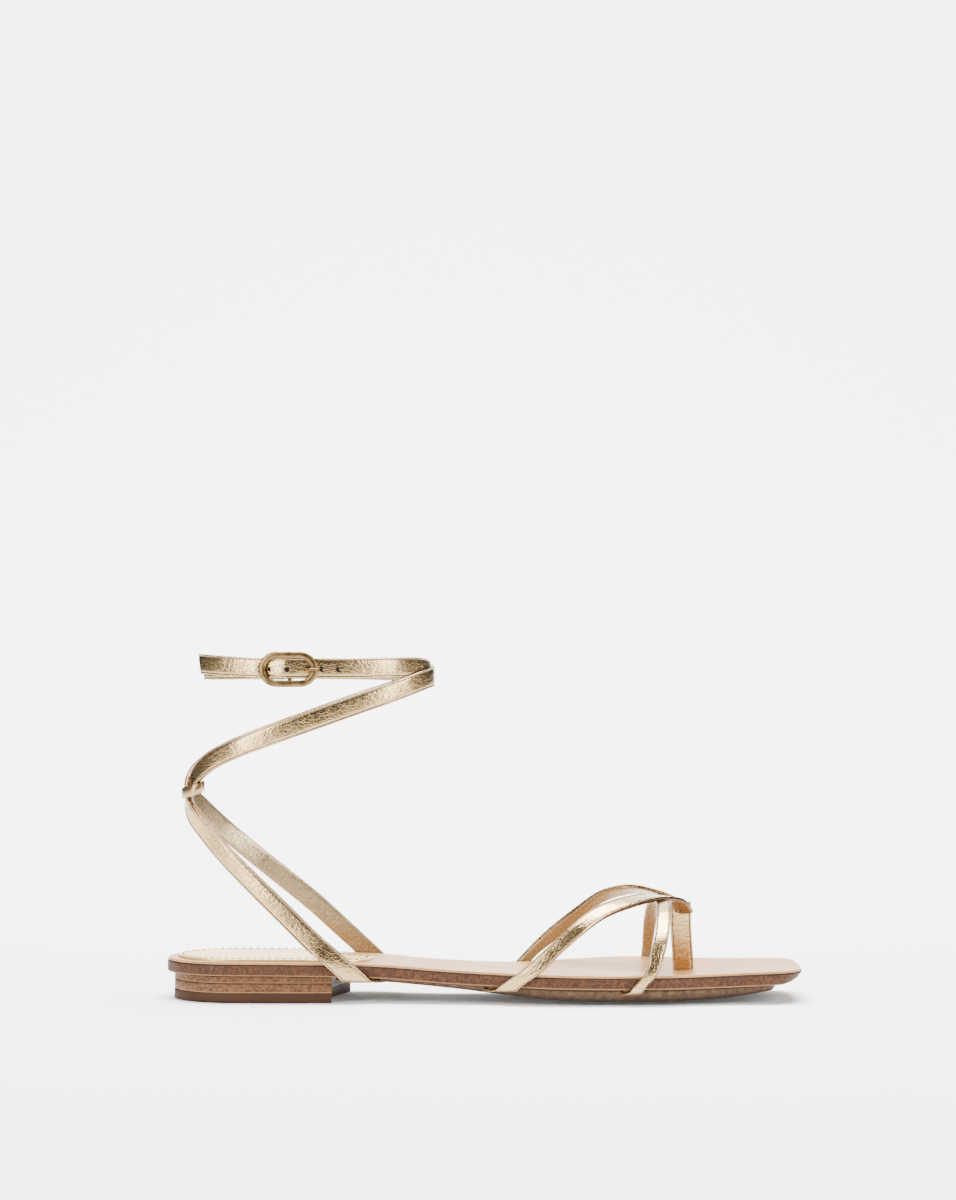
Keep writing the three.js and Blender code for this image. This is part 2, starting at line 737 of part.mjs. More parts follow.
// A closed band from four loops of points: outer low, outer high, inner high, inner low.
function bandSolid(loops) {
  const triangles = [];
  const count = loops[0].length;
  for (let r = 0; r < loops.length; r += 1) {
    const q = (r + 1) % loops.length;
    for (let k = 0; k < count; k += 1) {
      const m = (k + 1) % count;
      triangles.push([r * count + k, r * count + m, q * count + m]);
      triangles.push([r * count + k, q * count + m, q * count + k]);
    }
  }
  return toSolid(facingOut(closedGeometry(loops.flat(), triangles)));
}

// The eye: the end of the strap folded round the bar.
function eyeSolid() {
  const sides = 14;
  const rim = (radius, z) => {
    const points = [];
    for (let k = 0; k < sides; k += 1) {
      const turn = 2 * Math.PI * k / sides;
      points.push(buckleSpot(radius * Math.cos(turn), barLift + radius * Math.sin(turn), z).p.toArray());
    }
    return points;
  };
  const half = ankleStrapWidth / 2;
  return bandSolid([rim(eyeOuter, -half), rim(eyeOuter, half), rim(eyeInner, half), rim(eyeInner, -half)]);
}

function holeSolid(s) {
  const path = [
    buckleSpot(s, tailLift - 3, 0).p,
    buckleSpot(s, tailLift, 0).p,
    buckleSpot(s, tailLift + 3, 0).p,
  ];
  return bentTube(path, holeRadius, 6);
}

const prong = prongSolid(0);
const holePlaces = [-2, -1, 1, 2].map((k) => holeReach + k * holePitch);
let ankle = withoutVoids(straps(ankleRoutes, 0).add(eyeSolid())).subtract(prongSolid(strapClearance));
for (const s of holePlaces) ankle = ankle.subtract(holeSolid(s));

// The keeper hugs both straps where they cross behind the heel.
function keeperSolid() {
  const crossing = ankleRow(lateralHeelWrap[lateralHeelWrap.length - 1], -1).p;
  const curve = 0.055;
  const half = 0.97 * ankleStrapWidth;
  const inset = crossingOffset + strapThickness / 2 + strapClearance;
  const centreX = crossing.x + crossingOffset;
  const arc = (offset, reach, from, to) => {
    const points = [];
    for (let k = 0; k <= 8; k += 1) {
      const y = reach * (from + (to - from) * k / 8);
      points.push([centreX + offset + curve * y * y, y]);
    }
    return points;
  };
  const ring = (grow, z) => {
    const back = arc(-inset - grow, half + grow, -1, 1);
    const front = arc(inset + grow, half + grow, 1, -1);
    return [...back, ...front].map(([x, y]) => [x, y, z]);
  };
  const low = crossing.z - keeperHeight / 2;
  const high = crossing.z + keeperHeight / 2;
  const loops = [ring(keeperWall, low), ring(keeperWall, high), ring(0, high), ring(0, low)];
  return bandSolid(loops).subtract(ankleRoom);
}

// Layers of the sole
const wallLevels = (topHeight, bottomHeight, thickness, inset, undercut) => {
  const toeDepth = (x) => undercut * THREE.MathUtils.smoothstep(x, soleLength - toeUndercutLength, soleLength);
  const between = (share) => (x, y) => topHeight(x, y) + (bottomHeight(x, y) - topHeight(x, y)) * share;
  return [
    { inset: () => inset + 0.25, height: topHeight },
    { inset: () => inset, height: between(Math.min(0.5, 0.3 / thickness)) },
    { inset: (x) => inset + 0.5 * toeDepth(x), height: between(0.8) },
    { inset: (x) => inset + 0.5 + toeDepth(x), height: bottomHeight },
  ];
};
const fullLength = {
  start: endBow,
  endLateral: soleLength - endBow,
  endMedial: soleLength - endBow,
  startBow: endBow,
  endBow,
  outline: halfWidth,
  rows: soleRows,
  columns: soleColumns,
};

const insole = soleLayer({
  ...fullLength,
  levels: wallLevels(
    insoleTop,
    (x, y) => insoleTop(x, y) - insoleThickness,
    insoleThickness, insoleInset, 0,
  ).filter((level, k) => k !== 2).map((level, k) => (k === 2 ? { ...level, inset: () => insoleInset + 0.1 } : level)),
});
const midsole = soleLayer({
  ...fullLength,
  levels: wallLevels(
    (x, y) => insoleTop(x, y) - insoleThickness - layerGap,
    midsoleBottom, midsoleThickness, 0, toeUndercut,
  ),
});

const outsoleHeight = (x) => outsoleThickness * columnAt(outsoleForm, 'thick', x / soleLength);
const outsoleTop = (x, y) => midsoleBottom(x, y) - layerGap;
const outsoleBottom = (x, y) => Math.max(0, outsoleTop(x, y) - outsoleHeight(x));
const outsoleOutline = (side, x) => {
  const setback = outsoleFrontGap * THREE.MathUtils.smoothstep(x, 0.75 * soleLength, soleLength - outsoleFrontGap);
  return halfWidth(side, x + setback);
};
const outsole = soleLayer({
  ...fullLength,
  start: outsoleBack,
  endLateral: soleLength - outsoleFrontGap - endBow,
  endMedial: soleLength - outsoleFrontGap - endBow,
  startBow: 0,
  outline: outsoleOutline,
  rows: 24,
  levels: [
    { inset: () => outsoleInset, height: outsoleTop },
    { inset: () => outsoleInset, height: (x, y) => 0.6 * outsoleTop(x, y) + 0.4 * outsoleBottom(x, y) },
    { inset: () => outsoleInset + 0.8, height: outsoleBottom },
  ],
});

const heelOutline = (side, x) => halfWidth(side, x);
const heelBlock = (topHeight, bottomHeight, inset) => soleLayer({
  start: endBow,
  endLateral: heelLengthLateral,
  endMedial: heelLengthMedial,
  startBow: endBow,
  endBow: -breastHollow,
  outline: heelOutline,
  rows: 12,
  columns: 6,
  levels: [
    { inset: () => inset, height: topHeight },
    { inset: () => inset, height: bottomHeight },
  ],
});
const lowerLiftTop = topPieceHeight + lowerLiftHeight;
const topPiece = heelBlock(() => topPieceHeight, () => 0, heelInset);
const lowerLift = heelBlock(() => lowerLiftTop, () => topPieceHeight, heelInset + 0.1);
const upperLift = heelBlock((x, y) => midsoleBottom(x, y) - layerGap, () => lowerLiftTop, heelInset + 0.1);

const padOutline = (side, x, u) => {
  const corner = Math.max(0, (u - 0.72) / 0.28);
  return halfWidth(side, x) * Math.cbrt(Math.max(0.04, 1 - corner ** 3));
};
const padBase = (x, y) => insoleTop(x, y) + layerGap;
const heelPad = soleLayer({
  start: endBow,
  endLateral: padLengthLateral,
  endMedial: padLengthMedial,
  startBow: endBow,
  endBow: 0.5,
  outline: padOutline,
  rows: 14,
  columns: 6,
  levels: [
    { inset: () => padMargin + 0.3, height: (x, y) => padBase(x, y) + padThickness },
    { inset: () => padMargin, height: (x, y) => padBase(x, y) + 0.6 * padThickness },
    { inset: () => padMargin, height: padBase },
  ],
});

const cutFor = (layer, ...rooms) => {
  return toGeometry(rooms.reduce((solid, room) => solid.subtract(room), toSolid(layer)));
};

// Looks
const finish = (color, roughness, metalness) => new THREE.MeshStandardMaterial({ color, roughness, metalness });
const foil = () => finish(0xd8c7a8, 0.36, 0.7);
const leatherboard = () => finish(0x8c5e41, 0.8, 0);

const sandal = new THREE.Group();
const addPiece = (name, geometry, material) => {
  geometry.computeVertexNormals();
  const mesh = new THREE.Mesh(geometry, material);
  mesh.name = name;
  sandal.add(mesh);
};
addPiece('outsole', cutFor(outsole, ...tuckRooms), finish(0xa78f70, 0.7, 0));
addPiece('midsole', cutFor(midsole, postRoom), leatherboard());
addPiece('insole', cutFor(insole, postRoom), finish(0xc9ac92, 0.35, 0));
addPiece('heel_pad', heelPad, finish(0xf0e2ce, 0.45, 0.5));
addPiece('heel_lift_upper', upperLift, finish(0xa2765b, 0.8, 0));
addPiece('heel_lift_lower', lowerLift, finish(0xb08a68, 0.8, 0));
addPiece('heel_top_piece', topPiece, finish(0x674937, 0.6, 0));
addPiece('forefoot_straps', toGeometry(forefoot), foil());
addPiece('ankle_straps', toGeometry(ankle), foil());
addPiece('keeper_loop', toGeometry(keeperSolid()), finish(0xe6d8c0, 0.4, 0.6));
addPiece('buckle_frame', toGeometry(frameSolid()), finish(0x8a6f42, 0.35, 1));
addPiece('buckle_prong', toGeometry(prong), finish(0x9a7d4c, 0.35, 1));

// The origin is the middle of the heel's resting face.
sandal.position.x = -(heelLengthLateral + heelLengthMedial) / 4;

export default sandal;
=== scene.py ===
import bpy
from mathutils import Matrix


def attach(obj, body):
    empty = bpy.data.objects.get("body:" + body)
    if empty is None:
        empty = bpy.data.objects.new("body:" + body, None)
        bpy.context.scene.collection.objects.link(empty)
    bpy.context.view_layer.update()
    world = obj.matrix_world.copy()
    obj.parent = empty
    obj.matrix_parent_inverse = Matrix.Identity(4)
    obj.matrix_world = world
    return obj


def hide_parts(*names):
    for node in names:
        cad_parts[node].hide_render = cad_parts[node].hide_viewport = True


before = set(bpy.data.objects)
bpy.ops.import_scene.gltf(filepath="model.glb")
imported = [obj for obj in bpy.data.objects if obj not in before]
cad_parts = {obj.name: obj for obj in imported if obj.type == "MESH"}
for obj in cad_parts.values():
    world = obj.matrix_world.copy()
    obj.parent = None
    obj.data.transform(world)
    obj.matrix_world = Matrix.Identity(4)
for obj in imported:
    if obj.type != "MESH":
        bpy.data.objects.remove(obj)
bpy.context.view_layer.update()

import math

import bmesh
import bpy
from mathutils import Vector

# All shapes below are in millimetres with the heel's back at x = 0.
MM = 0.001
# Millimetres in one unit of a piece's surface map.
MAP_LENGTH = 100

# Sole
SOLE_LENGTH = 254.0
BALL_WIDTH = 85.0
RIM_HEIGHT = 16.4
CUP_DEPTH = 3.0
INSOLE_THICKNESS = 0.9
INSOLE_INSET = 0.3
MIDSOLE_THICKNESS = 4.3
OUTSOLE_THICKNESS = 3.6
OUTSOLE_INSET = 2.2
OUTSOLE_FRONT_GAP = 8.5
TOE_UNDERCUT = 6.4
TOE_UNDERCUT_LENGTH = 20.0
HEEL_ROUND_RADIUS = 28.0
TOE_CORNER_RADIUS = 12.0
END_BOW = 1.5
LAYER_GAP = 0.3
SEAM = 0.1
MIDSOLE_ROUND = 0.5
EDGE_TURNS = (0.0, 0.35, 0.7, 1.0)
OUTSOLE_START = 0.27 * SOLE_LENGTH
OUTSOLE_SETBACK_START = 0.75 * SOLE_LENGTH

# Heel and pad
TOP_PIECE_HEIGHT = 4.0
LOWER_LIFT_HEIGHT = 3.9
HEEL_INSET = 2.9
STACK_INSET = HEEL_INSET + 0.1
HEEL_ROUND = 0.25
HEEL_LATERAL = 0.264 * SOLE_LENGTH
HEEL_MEDIAL = 0.288 * SOLE_LENGTH
BREAST_HOLLOW = 3.6
PAD_THICKNESS = 0.9
PAD_MARGIN = 4.4
PAD_LATERAL = 0.325 * SOLE_LENGTH
PAD_MEDIAL = 0.28 * SOLE_LENGTH
PAD_SEAM = 0.05
PAD_END_BOW = 0.5
PAD_CORNER_START = 0.72
PAD_STITCH_INSET = 1.7
PAD_STITCH_LENGTH = 1.9
PAD_STITCH_PITCH = 2.9
PAD_THREAD_RADIUS = 0.24

# Straps
STRAP_THICKNESS = 1.8
ANKLE_WIDTH = 8.0
FOOT_WIDTH = 7.4
BAND_WIDTH = 5.5
POST_WIDTH = 8.5
STRAP_TUCK = 4.0
WALL_SPACE = 0.22
STRAP_ABOVE_RIM = 1.4
ANKLE_RISE = 116.6
INSTEP_RISE = 30.0
CROSSING_OFFSET = 0.42 * STRAP_THICKNESS
STRAP_STEP = 1.4
TAIL_SLANT = 1.4
FOOT_NARROWS = 0.74
FOREFOOT_RIM = 0.732 * RIM_HEIGHT
POST_STITCH_LENGTH = 1.7
POST_THREAD_RADIUS = 0.22

# The foot's section at the instep, an ellipse that the forefoot straps lie on
INSTEP_MIDDLE = 0.047 * BALL_WIDTH
INSTEP_HALF_WIDTH = 0.45 * BALL_WIDTH
INSTEP_BASE = 0.6 * RIM_HEIGHT
INSTEP_HALF_HEIGHT = 0.39 * BALL_WIDTH

# Ankle loop and buckle
LOOP_LENGTH = 91.6
LOOP_WIDTH = 52.0
LOOP_BACK = 0.055 * SOLE_LENGTH
LOOP_CENTRE = LOOP_BACK + LOOP_LENGTH / 2
BUCKLE_LENGTH = 23.0
BUCKLE_HEIGHT = 14.0
BUCKLE_BAND = 2.7
BUCKLE_THICKNESS = 1.8
BUCKLE_ALONG = 0.142 * SOLE_LENGTH
BUCKLE_UP = 0.9905
BAR_RADIUS = 0.9
PRONG_RADIUS = 0.85
PRONG_REACH = 11.4
PRONG_TAPER = (0.75, 0.75, 0.75, 0.72, 0.66, 0.42)
PRONG_RING_START = 0.12
PRONG_RING_TURN = 5.66
HOLE_REACH = 6.2
HOLE_PITCH = 6.6
HOLE_RADIUS = 0.8
EYE_WALL = 1.0
PART_GAP = 0.3
TAIL_LIFT = STRAP_THICKNESS / 2 + LAYER_GAP / 2
KEEPER_HEIGHT = 4.4
KEEPER_WALL = 1.1
KEEPER_BEND = 0.055
KEEPER_LEAN = 0.3

TO_ROW_FRAME = Vector((-(HEEL_LATERAL + HEEL_MEDIAL) / 4, 0, 0))

# Columns: along, lateral, medial, rim, cup, as shares of the sole's sizes.
LATERAL, MEDIAL, RIM, CUP = 1, 2, 3, 4
SOLE_FORM = (
    (0.00, 0.330, 0.316, 1.000, 0),
    (0.13, 0.337, 0.318, 1.000, 0),
    (0.21, 0.345, 0.302, 0.995, 0),
    (0.33, 0.320, 0.240, 0.945, 0),
    (0.445, 0.352, 0.168, 0.829, 0),
    (0.54, 0.390, 0.203, 0.762, 0.25),
    (0.61, 0.440, 0.345, 0.742, 0.7),
    (0.685, 0.452, 0.505, 0.732, 1),
    (0.735, 0.447, 0.548, 0.732, 1),
    (0.79, 0.430, 0.521, 0.732, 1),
    (0.845, 0.395, 0.450, 0.744, 0.85),
    (0.92, 0.372, 0.355, 0.780, 0.5),
    (1.00, 0.345, 0.290, 0.820, 0.3),
)
OUTSOLE_FORM = ((0.33, 0.30), (0.45, 0.45), (0.60, 1.00), (0.86, 1.00), (0.97, 0.32))

# Ankle rows: along the oval, across its half width, up the rise, layer.
LATERAL_HEEL_WRAP = (
    (0.502, 1.085, 0.063, 0), (0.378, 0.969, 0.156, 0), (0.246, 0.831, 0.254, 0),
    (0.111, 0.638, 0.356, 0), (0.022, 0.431, 0.431, 0), (-0.037, 0.238, 0.494, 1),
    (-0.061, 0.000, 0.567, 1),
)
MEDIAL_HEEL_WRAP = (
    (0.611, 0.869, 0.075, 0), (0.479, 0.854, 0.170, 0), (0.346, 0.800, 0.256, 0),
    (0.214, 0.715, 0.341, 0), (0.085, 0.546, 0.431, 0), (-0.016, 0.269, 0.513, -1),
    (-0.061, 0.000, 0.567, -1),
)
ANKLE_DIAGONAL = (
    (-0.031, 0.231, 0.624, 1), (0.039, 0.442, 0.672, 0), (0.142, 0.731, 0.715, 0),
    (0.306, 0.938, 0.765, 0), (0.502, 1.000, 0.820, 0), (0.699, 0.915, 0.875, 0),
    (0.852, 0.715, 0.916, 0),
)
FRONT_OUTSIDE = ((0.955, -0.408, 0.949, 1), (1.000, 0.000, 0.964, 1))
FRONT_INSIDE = ((0.955, 0.408, 0.957, -1), (1.000, 0.000, 0.980, -1))

# Rows round the oval: angle, lift in strap thicknesses, up.
TOP_NEAR = ((24, -0.40, 0.994), (46, 0.10, 0.996), (72, 0.45, 0.994))
TAIL = ((122, 0.60, 0.996), (146, 0.62, 1.002), (160, 0.64, 1.005), (168, 0.66, 1.006))
TOP_FAR = (
    (-24, 0.30, 0.974), (-60, 0.0, 0.980), (-100, 0.0, 0.983), (-140, -0.30, 0.985),
    (-165, -0.58, 0.985), (-190, -0.60, 0.986), (-212, -0.60, 0.987), (-236, -0.60, 0.989),
)

# Forefoot rows: along the sole, across the ball width, up the instep rise, and a share of
# the width where the strap is narrower.
LATERAL_INSTEP = (
    (0.609, -0.426, 0.333, 0.76), (0.644, -0.406, 0.593, 0.79), (0.679, -0.341, 0.793, 0.86),
    (0.728, -0.212, 0.917, 0.95), (0.777, -0.035, 0.933), (0.807, 0.073, 0.853),
    (0.819, 0.140, 0.700),
)
MEDIAL_INSTEP = (
    (0.606, 0.318, 0.330, 0.82), (0.650, 0.350, 0.620, 0.9), (0.693, 0.348, 0.873),
    (0.735, 0.318, 0.967), (0.778, 0.235, 0.940), (0.806, 0.179, 0.860),
    (0.817, 0.148, 0.690),
)
TOE_BAND = (
    (0.766, -0.428, 0.250), (0.775, -0.371, 0.500), (0.780, -0.235, 0.763),
    (0.781, -0.094, 0.870), (0.780, 0.071, 0.893), (0.778, 0.224, 0.877),
    (0.772, 0.334, 0.753), (0.769, 0.454, 0.500),
)
TOE_POST = (
    (0.818, 0.167, -0.183), (0.817, 0.165, 0.067), (0.814, 0.155, 0.467),
    (0.813, 0.146, 0.835),
)

# Where each strap meets the wall: side, along the sole, forward run for each rise.
LATERAL_HEEL_FOOT = (-1, 0.272, -1.12)
MEDIAL_HEEL_FOOT = (1, 0.315, -1.08)
LATERAL_INSTEP_FOOT = (-1, 0.567, 1.33)
MEDIAL_INSTEP_FOOT = (1, 0.567, 0.9)
BAND_LATERAL_FOOT = (-1, 0.753, 0.85)
BAND_MEDIAL_FOOT = (1, 0.763, 0.18)

# Half of a strap's section: share of the half width, share of the half thickness.
STRAP_EDGE = (
    (1.00, 0.00), (0.985, 0.45), (0.955, 0.85), (0.91, 1.00), (0.86, 0.97), (0.81, 0.76),
    (0.77, 0.72), (0.72, 0.86), (0.62, 0.93), (0.34, 0.96), (0.0, 0.97),
)
STRAP_BACK = ((0.0, -1.0), (0.5, -1.0), (0.86, -0.98), (0.95, -0.80), (0.985, -0.40))

# Along one stitch: share of its length, share of the thread's radius, rise in radii.
STITCH_SHAPE = (
    (0.0, 0.35, -0.6), (0.15, 0.85, 0.1), (0.5, 1.0, 0.55), (0.85, 0.85, 0.1), (1.0, 0.35, -0.6),
)
QUAD = ((0, 0), (1, 0), (1, 1), (0, 1))


def rgb(code):
    """Linear colour of a hexadecimal screen colour."""
    parts = [int(code[k:k + 2], 16) / 255 for k in (0, 2, 4)]
    return [c / 12.92 if c < 0.04045 else ((c + 0.055) / 1.055) ** 2.4 for c in parts] + [1.0]


def smoothstep(x, low, high):
    s = min(1.0, max(0.0, (x - low) / (high - low)))
    return s * s * (3 - 2 * s)


def column_at(table, column, along):
    """A smooth curve through one column of a table."""
    last = len(table) - 1
    t = min(max(along, table[0][0]), table[last][0])
    i = 0
    while i < last - 1 and table[i + 1][0] < t:
        i += 1

    def slope(k):
        before, after = max(k - 1, 0), min(k + 1, last)
        rise = table[after][column] - table[before][column]
        return rise / (table[after][0] - table[before][0])

    step = table[i + 1][0] - table[i][0]
    s = (t - table[i][0]) / step
    h = 1 - s
    return (table[i][column] * h * h * (1 + 2 * s) + table[i + 1][column] * s * s * (3 - 2 * s)
            + step * h * s * (slope(i) * h - slope(i + 1) * s))


def half_width(side, x):
    flank = BALL_WIDTH * column_at(SOLE_FORM, LATERAL if side < 0 else MEDIAL, x / SOLE_LENGTH)
    heel_share = max(0.0, 1 - x / HEEL_ROUND_RADIUS)
    toe_share = max(0.0, 1 - (SOLE_LENGTH - x) / TOE_CORNER_RADIUS)
    heel_round = math.sqrt(max(0.0, 1 - heel_share ** 2))
    toe_round = max(0.0, 1 - toe_share ** 3) ** (1 / 3)
    return flank * heel_round * toe_round


def rim_at(x):
    return RIM_HEIGHT * column_at(SOLE_FORM, RIM, x / SOLE_LENGTH)


def insole_top(x, y):
    lateral, medial = half_width(-1, x), half_width(1, x)
    middle = (medial - lateral) / 2
    share = min(1.0, abs(y - middle) / ((medial + lateral) / 2 + 0.001))
    return rim_at(x) - CUP_DEPTH * column_at(SOLE_FORM, CUP, x / SOLE_LENGTH) * (1 - share ** 2)


def midsole_bottom(x, y):
    return insole_top(x, y) - INSOLE_THICKNESS - LAYER_GAP - MIDSOLE_THICKNESS


def piece(name, shapes, material, node, sharp=48):
    """One object from shapes of (corners, faces, map places of each face's corners)."""
    corners, faces, places = [], [], []
    for shape_corners, shape_faces, shape_places in shapes:
        first = len(corners)
        corners += [(Vector(c) + TO_ROW_FRAME) * MM for c in shape_corners]
        faces += [[first + k for k in face] for face in shape_faces]
        places += shape_places
    mesh = bpy.data.meshes.new(name)
    mesh.from_pydata(corners, [], faces)
    layer = mesh.uv_layers.new(name="surface")
    for polygon, spots in zip(mesh.polygons, places):
        for loop, spot in zip(polygon.loop_indices, spots):
            layer.data[loop].uv = spot
    shell = bmesh.new()
    shell.from_mesh(mesh)
    bmesh.ops.recalc_face_normals(shell, faces=shell.faces)
    shell.to_mesh(mesh)
    shell.free()
    mesh.shade_smooth()
    mesh.set_sharp_from_angle(angle=math.radians(sharp))
    mesh.materials.append(material)
    made = bpy.data.objects.new(name, mesh)
    bpy.context.scene.collection.objects.link(made)
    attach(made, "root")
    if node:
        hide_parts(node)


# Layers of the sole
def crowd(u):
    """Shares along a layer, closer together at both ends."""
    return u - 0.5 * math.sin(2 * math.pi * u) / (2 * math.pi)


def edge_point(form, side, u, inset):
    end = form["end_lateral"] if side < 0 else form["end_medial"]
    x = form["start"] + (end - form["start"]) * crowd(u)
    outline = form["outline"]
    half = outline(side, x, u)
    slope = (outline(side, x + 0.1, u) - outline(side, x - 0.1, u)) / 0.2
    tilt = math.hypot(1, slope)
    depth = inset(x)
    return x + depth * slope / tilt, side * (half - depth / tilt)


def layer_spot(form, u, v, inset, height):
    outer, inner = edge_point(form, -1, u, inset), edge_point(form, 1, u, inset)
    share = (v + 1) / 2
    f = crowd(u)
    bulge = (form["end_bow"] * max(0, 1 - 8 * (1 - f)) ** 2
             - form["start_bow"] * max(0, 1 - 8 * f) ** 2)
    x = outer[0] + (inner[0] - outer[0]) * share + bulge * (1 - v * v)
    y = outer[1] + (inner[1] - outer[1]) * share
    return Vector((x, y, height(x, y)))


def border_of(rows, columns):
    border = [(i, 0) for i in range(rows)] + [(rows, j) for j in range(columns)]
    return border + [(i, columns) for i in range(rows, 0, -1)] + [(0, j) for j in range(columns, 0, -1)]


def sole_layer(form, levels, rows=150, columns=26):
    """levels: (inset at x, height at x y, share down the wall), from the top to the bottom."""
    corners, faces, places = [], [], []
    border = border_of(rows, columns)

    def grid(level, turned):
        first = len(corners)
        for i in range(rows + 1):
            for j in range(columns + 1):
                corners.append(layer_spot(form, i / rows, 2 * j / columns - 1, *level[:2]))
        for i in range(rows):
            for j in range(columns):
                quad = [first + (i + a) * (columns + 1) + j + b for a, b in QUAD]
                quad = quad[::-1] if turned else quad
                faces.append(quad)
                places.append([(corners[k].x / MAP_LENGTH, -2 + corners[k].y / MAP_LENGTH) for k in quad])
        return [first + i * (columns + 1) + j for i, j in border]

    rings = [grid(levels[0], False)]
    for level in levels[1:-1]:
        ring = []
        for i, j in border:
            ring.append(len(corners))
            corners.append(layer_spot(form, i / rows, 2 * j / columns - 1, *level[:2]))
        rings.append(ring)
    rings.append(grid(levels[-1], True))
    run = [0.0]
    for m in range(len(border)):
        step = corners[rings[0][(m + 1) % len(border)]] - corners[rings[0][m]]
        run.append(run[-1] + step.length)
    for k in range(len(rings) - 1):
        upper, lower = levels[k][2], levels[k + 1][2]
        for m in range(len(border)):
            n = (m + 1) % len(border)
            near, far = run[m] / MAP_LENGTH, run[m + 1] / MAP_LENGTH
            faces.append([rings[k][m], rings[k + 1][m], rings[k + 1][n], rings[k][n]])
            places.append([(near, upper), (near, lower), (far, lower), (far, upper)])
    return corners, faces, places


def between(top, bottom, share):
    """The height at a share of the way from one face down to another."""
    return lambda x, y: top(x, y) + (bottom(x, y) - top(x, y)) * share


def midsole_top(x, y):
    return insole_top(x, y) - INSOLE_THICKNESS - SEAM


def toe_undercut(x):
    return TOE_UNDERCUT * smoothstep(x, SOLE_LENGTH - TOE_UNDERCUT_LENGTH, SOLE_LENGTH)


def midsole_levels():
    """Levels with rounded edges and an undercut below the toe."""
    def level(share, depth, cut):
        return (lambda x: depth + toe_undercut(x) * cut), between(midsole_top, midsole_bottom, share), share

    def rounding(turn):
        angle = turn * math.pi / 2
        share = MIDSOLE_ROUND * (1 - math.cos(angle)) / MIDSOLE_THICKNESS
        return MIDSOLE_ROUND * (1 - math.sin(angle)), share

    levels = []
    for turn in EDGE_TURNS:
        depth, share = rounding(turn)
        levels.append(level(share, depth, share * share))
    levels += [level(0.5, 0.0, 0.25), level(0.8, 0.0, 0.6)]
    for turn in EDGE_TURNS[::-1]:
        depth, share = rounding(turn)
        levels.append(level(1 - share, depth, 1 - 2 * share))
    return levels


def full_outline(side, x, u):
    return half_width(side, x)


FULL = {
    "start": END_BOW, "end_lateral": SOLE_LENGTH - END_BOW, "end_medial": SOLE_LENGTH - END_BOW,
    "start_bow": END_BOW, "end_bow": END_BOW, "outline": full_outline,
}


def outsole_top(x, y):
    return midsole_bottom(x, y) - SEAM


def outsole_bottom(x, y):
    thick = OUTSOLE_THICKNESS * column_at(OUTSOLE_FORM, 1, x / SOLE_LENGTH)
    return max(0.0, midsole_bottom(x, y) - LAYER_GAP - thick)


def outsole_outline(side, x, u):
    front = SOLE_LENGTH - OUTSOLE_FRONT_GAP
    setback = OUTSOLE_FRONT_GAP * smoothstep(x, OUTSOLE_SETBACK_START, front)
    return half_width(side, x + setback)


def pad_outline(side, x, u):
    corner = max(0.0, (u - PAD_CORNER_START) / (1 - PAD_CORNER_START))
    return half_width(side, x) * max(0.04, 1 - corner ** 3) ** (1 / 3)


def pad_base(x, y):
    return insole_top(x, y) + PAD_SEAM


HEEL = {
    "start": END_BOW, "end_lateral": HEEL_LATERAL, "end_medial": HEEL_MEDIAL,
    "start_bow": END_BOW, "end_bow": -BREAST_HOLLOW, "outline": full_outline,
}
PAD = {
    "start": END_BOW, "end_lateral": PAD_LATERAL, "end_medial": PAD_MEDIAL,
    "start_bow": END_BOW, "end_bow": PAD_END_BOW, "outline": pad_outline,
}


def heel_levels(top, bottom, inset):
    steps = ((0.0, HEEL_ROUND), (0.08, 0), (0.5, 0), (0.92, 0), (1.0, HEEL_ROUND))
    return [(lambda x, depth=inset + extra: depth, between(top, bottom, share), share)
            for share, extra in steps]


# Straps
def curve_point(points, t, centripetal):
    """A place on the smooth curve through points, t from 0 to 1."""
    last = len(points) - 1
    i = min(int(t * last), last - 1)
    s = t * last - i
    p1, p2 = points[i], points[i + 1]
    p0 = points[i - 1] if i > 0 else 2 * p1 - p2
    p3 = points[i + 2] if i + 2 <= last else 2 * p2 - p1
    if centripetal:
        d0, d1, d2 = (max(0.01, (b - a).length) ** 0.5 for a, b in ((p0, p1), (p1, p2), (p2, p3)))
        m1 = ((p1 - p0) / d0 - (p2 - p0) / (d0 + d1) + (p2 - p1) / d1) * d1
        m2 = ((p2 - p1) / d1 - (p3 - p1) / (d1 + d2) + (p3 - p2) / d2) * d1
    else:
        m1, m2 = (p2 - p0) / 2, (p3 - p1) / 2
    return p1 + m1 * s + (3 * (p2 - p1) - 2 * m1 - m2) * s ** 2 + (2 * (p1 - p2) + m1 + m2) * s ** 3


def dressed(route):
    """Rows (place, across, outward), where a number for across becomes a vector square to the run."""
    rows = []
    for i, (p, w, n) in enumerate(route):
        run = (route[min(i + 1, len(route) - 1)][0] - route[max(i - 1, 0)][0]).normalized()
        if isinstance(w, float):
            n = (n - run * n.dot(run)).normalized()
            rows.append((p, run.cross(n).normalized() * w, n))
        else:
            turned = -1 if w.dot(run.cross(n)) < 0 else 1
            rows.append((p, w * turned, n))
    return rows


def strap_frame(rows, t):
    p = curve_point([row[0] for row in rows], t, True)
    w = curve_point([row[1] for row in rows], t, False)
    n = curve_point([row[2] for row in rows], t, False).normalized()
    return p, w, n


def strap_stations(rows):
    stations = []
    for i in range(len(rows) - 1):
        steps = max(3, round((rows[i + 1][0] - rows[i][0]).length / STRAP_STEP))
        stations += [(i + k / steps) / (len(rows) - 1) for k in range(steps)]
    return stations + [1.0]


def full_section():
    """The whole section from its half tables, once round."""
    right = list(STRAP_EDGE)
    left = [(-a, b) for a, b in STRAP_EDGE[-2::-1]]
    back = [(-a, b) for a, b in STRAP_BACK[:0:-1]] + list(STRAP_BACK)
    return right + left + back


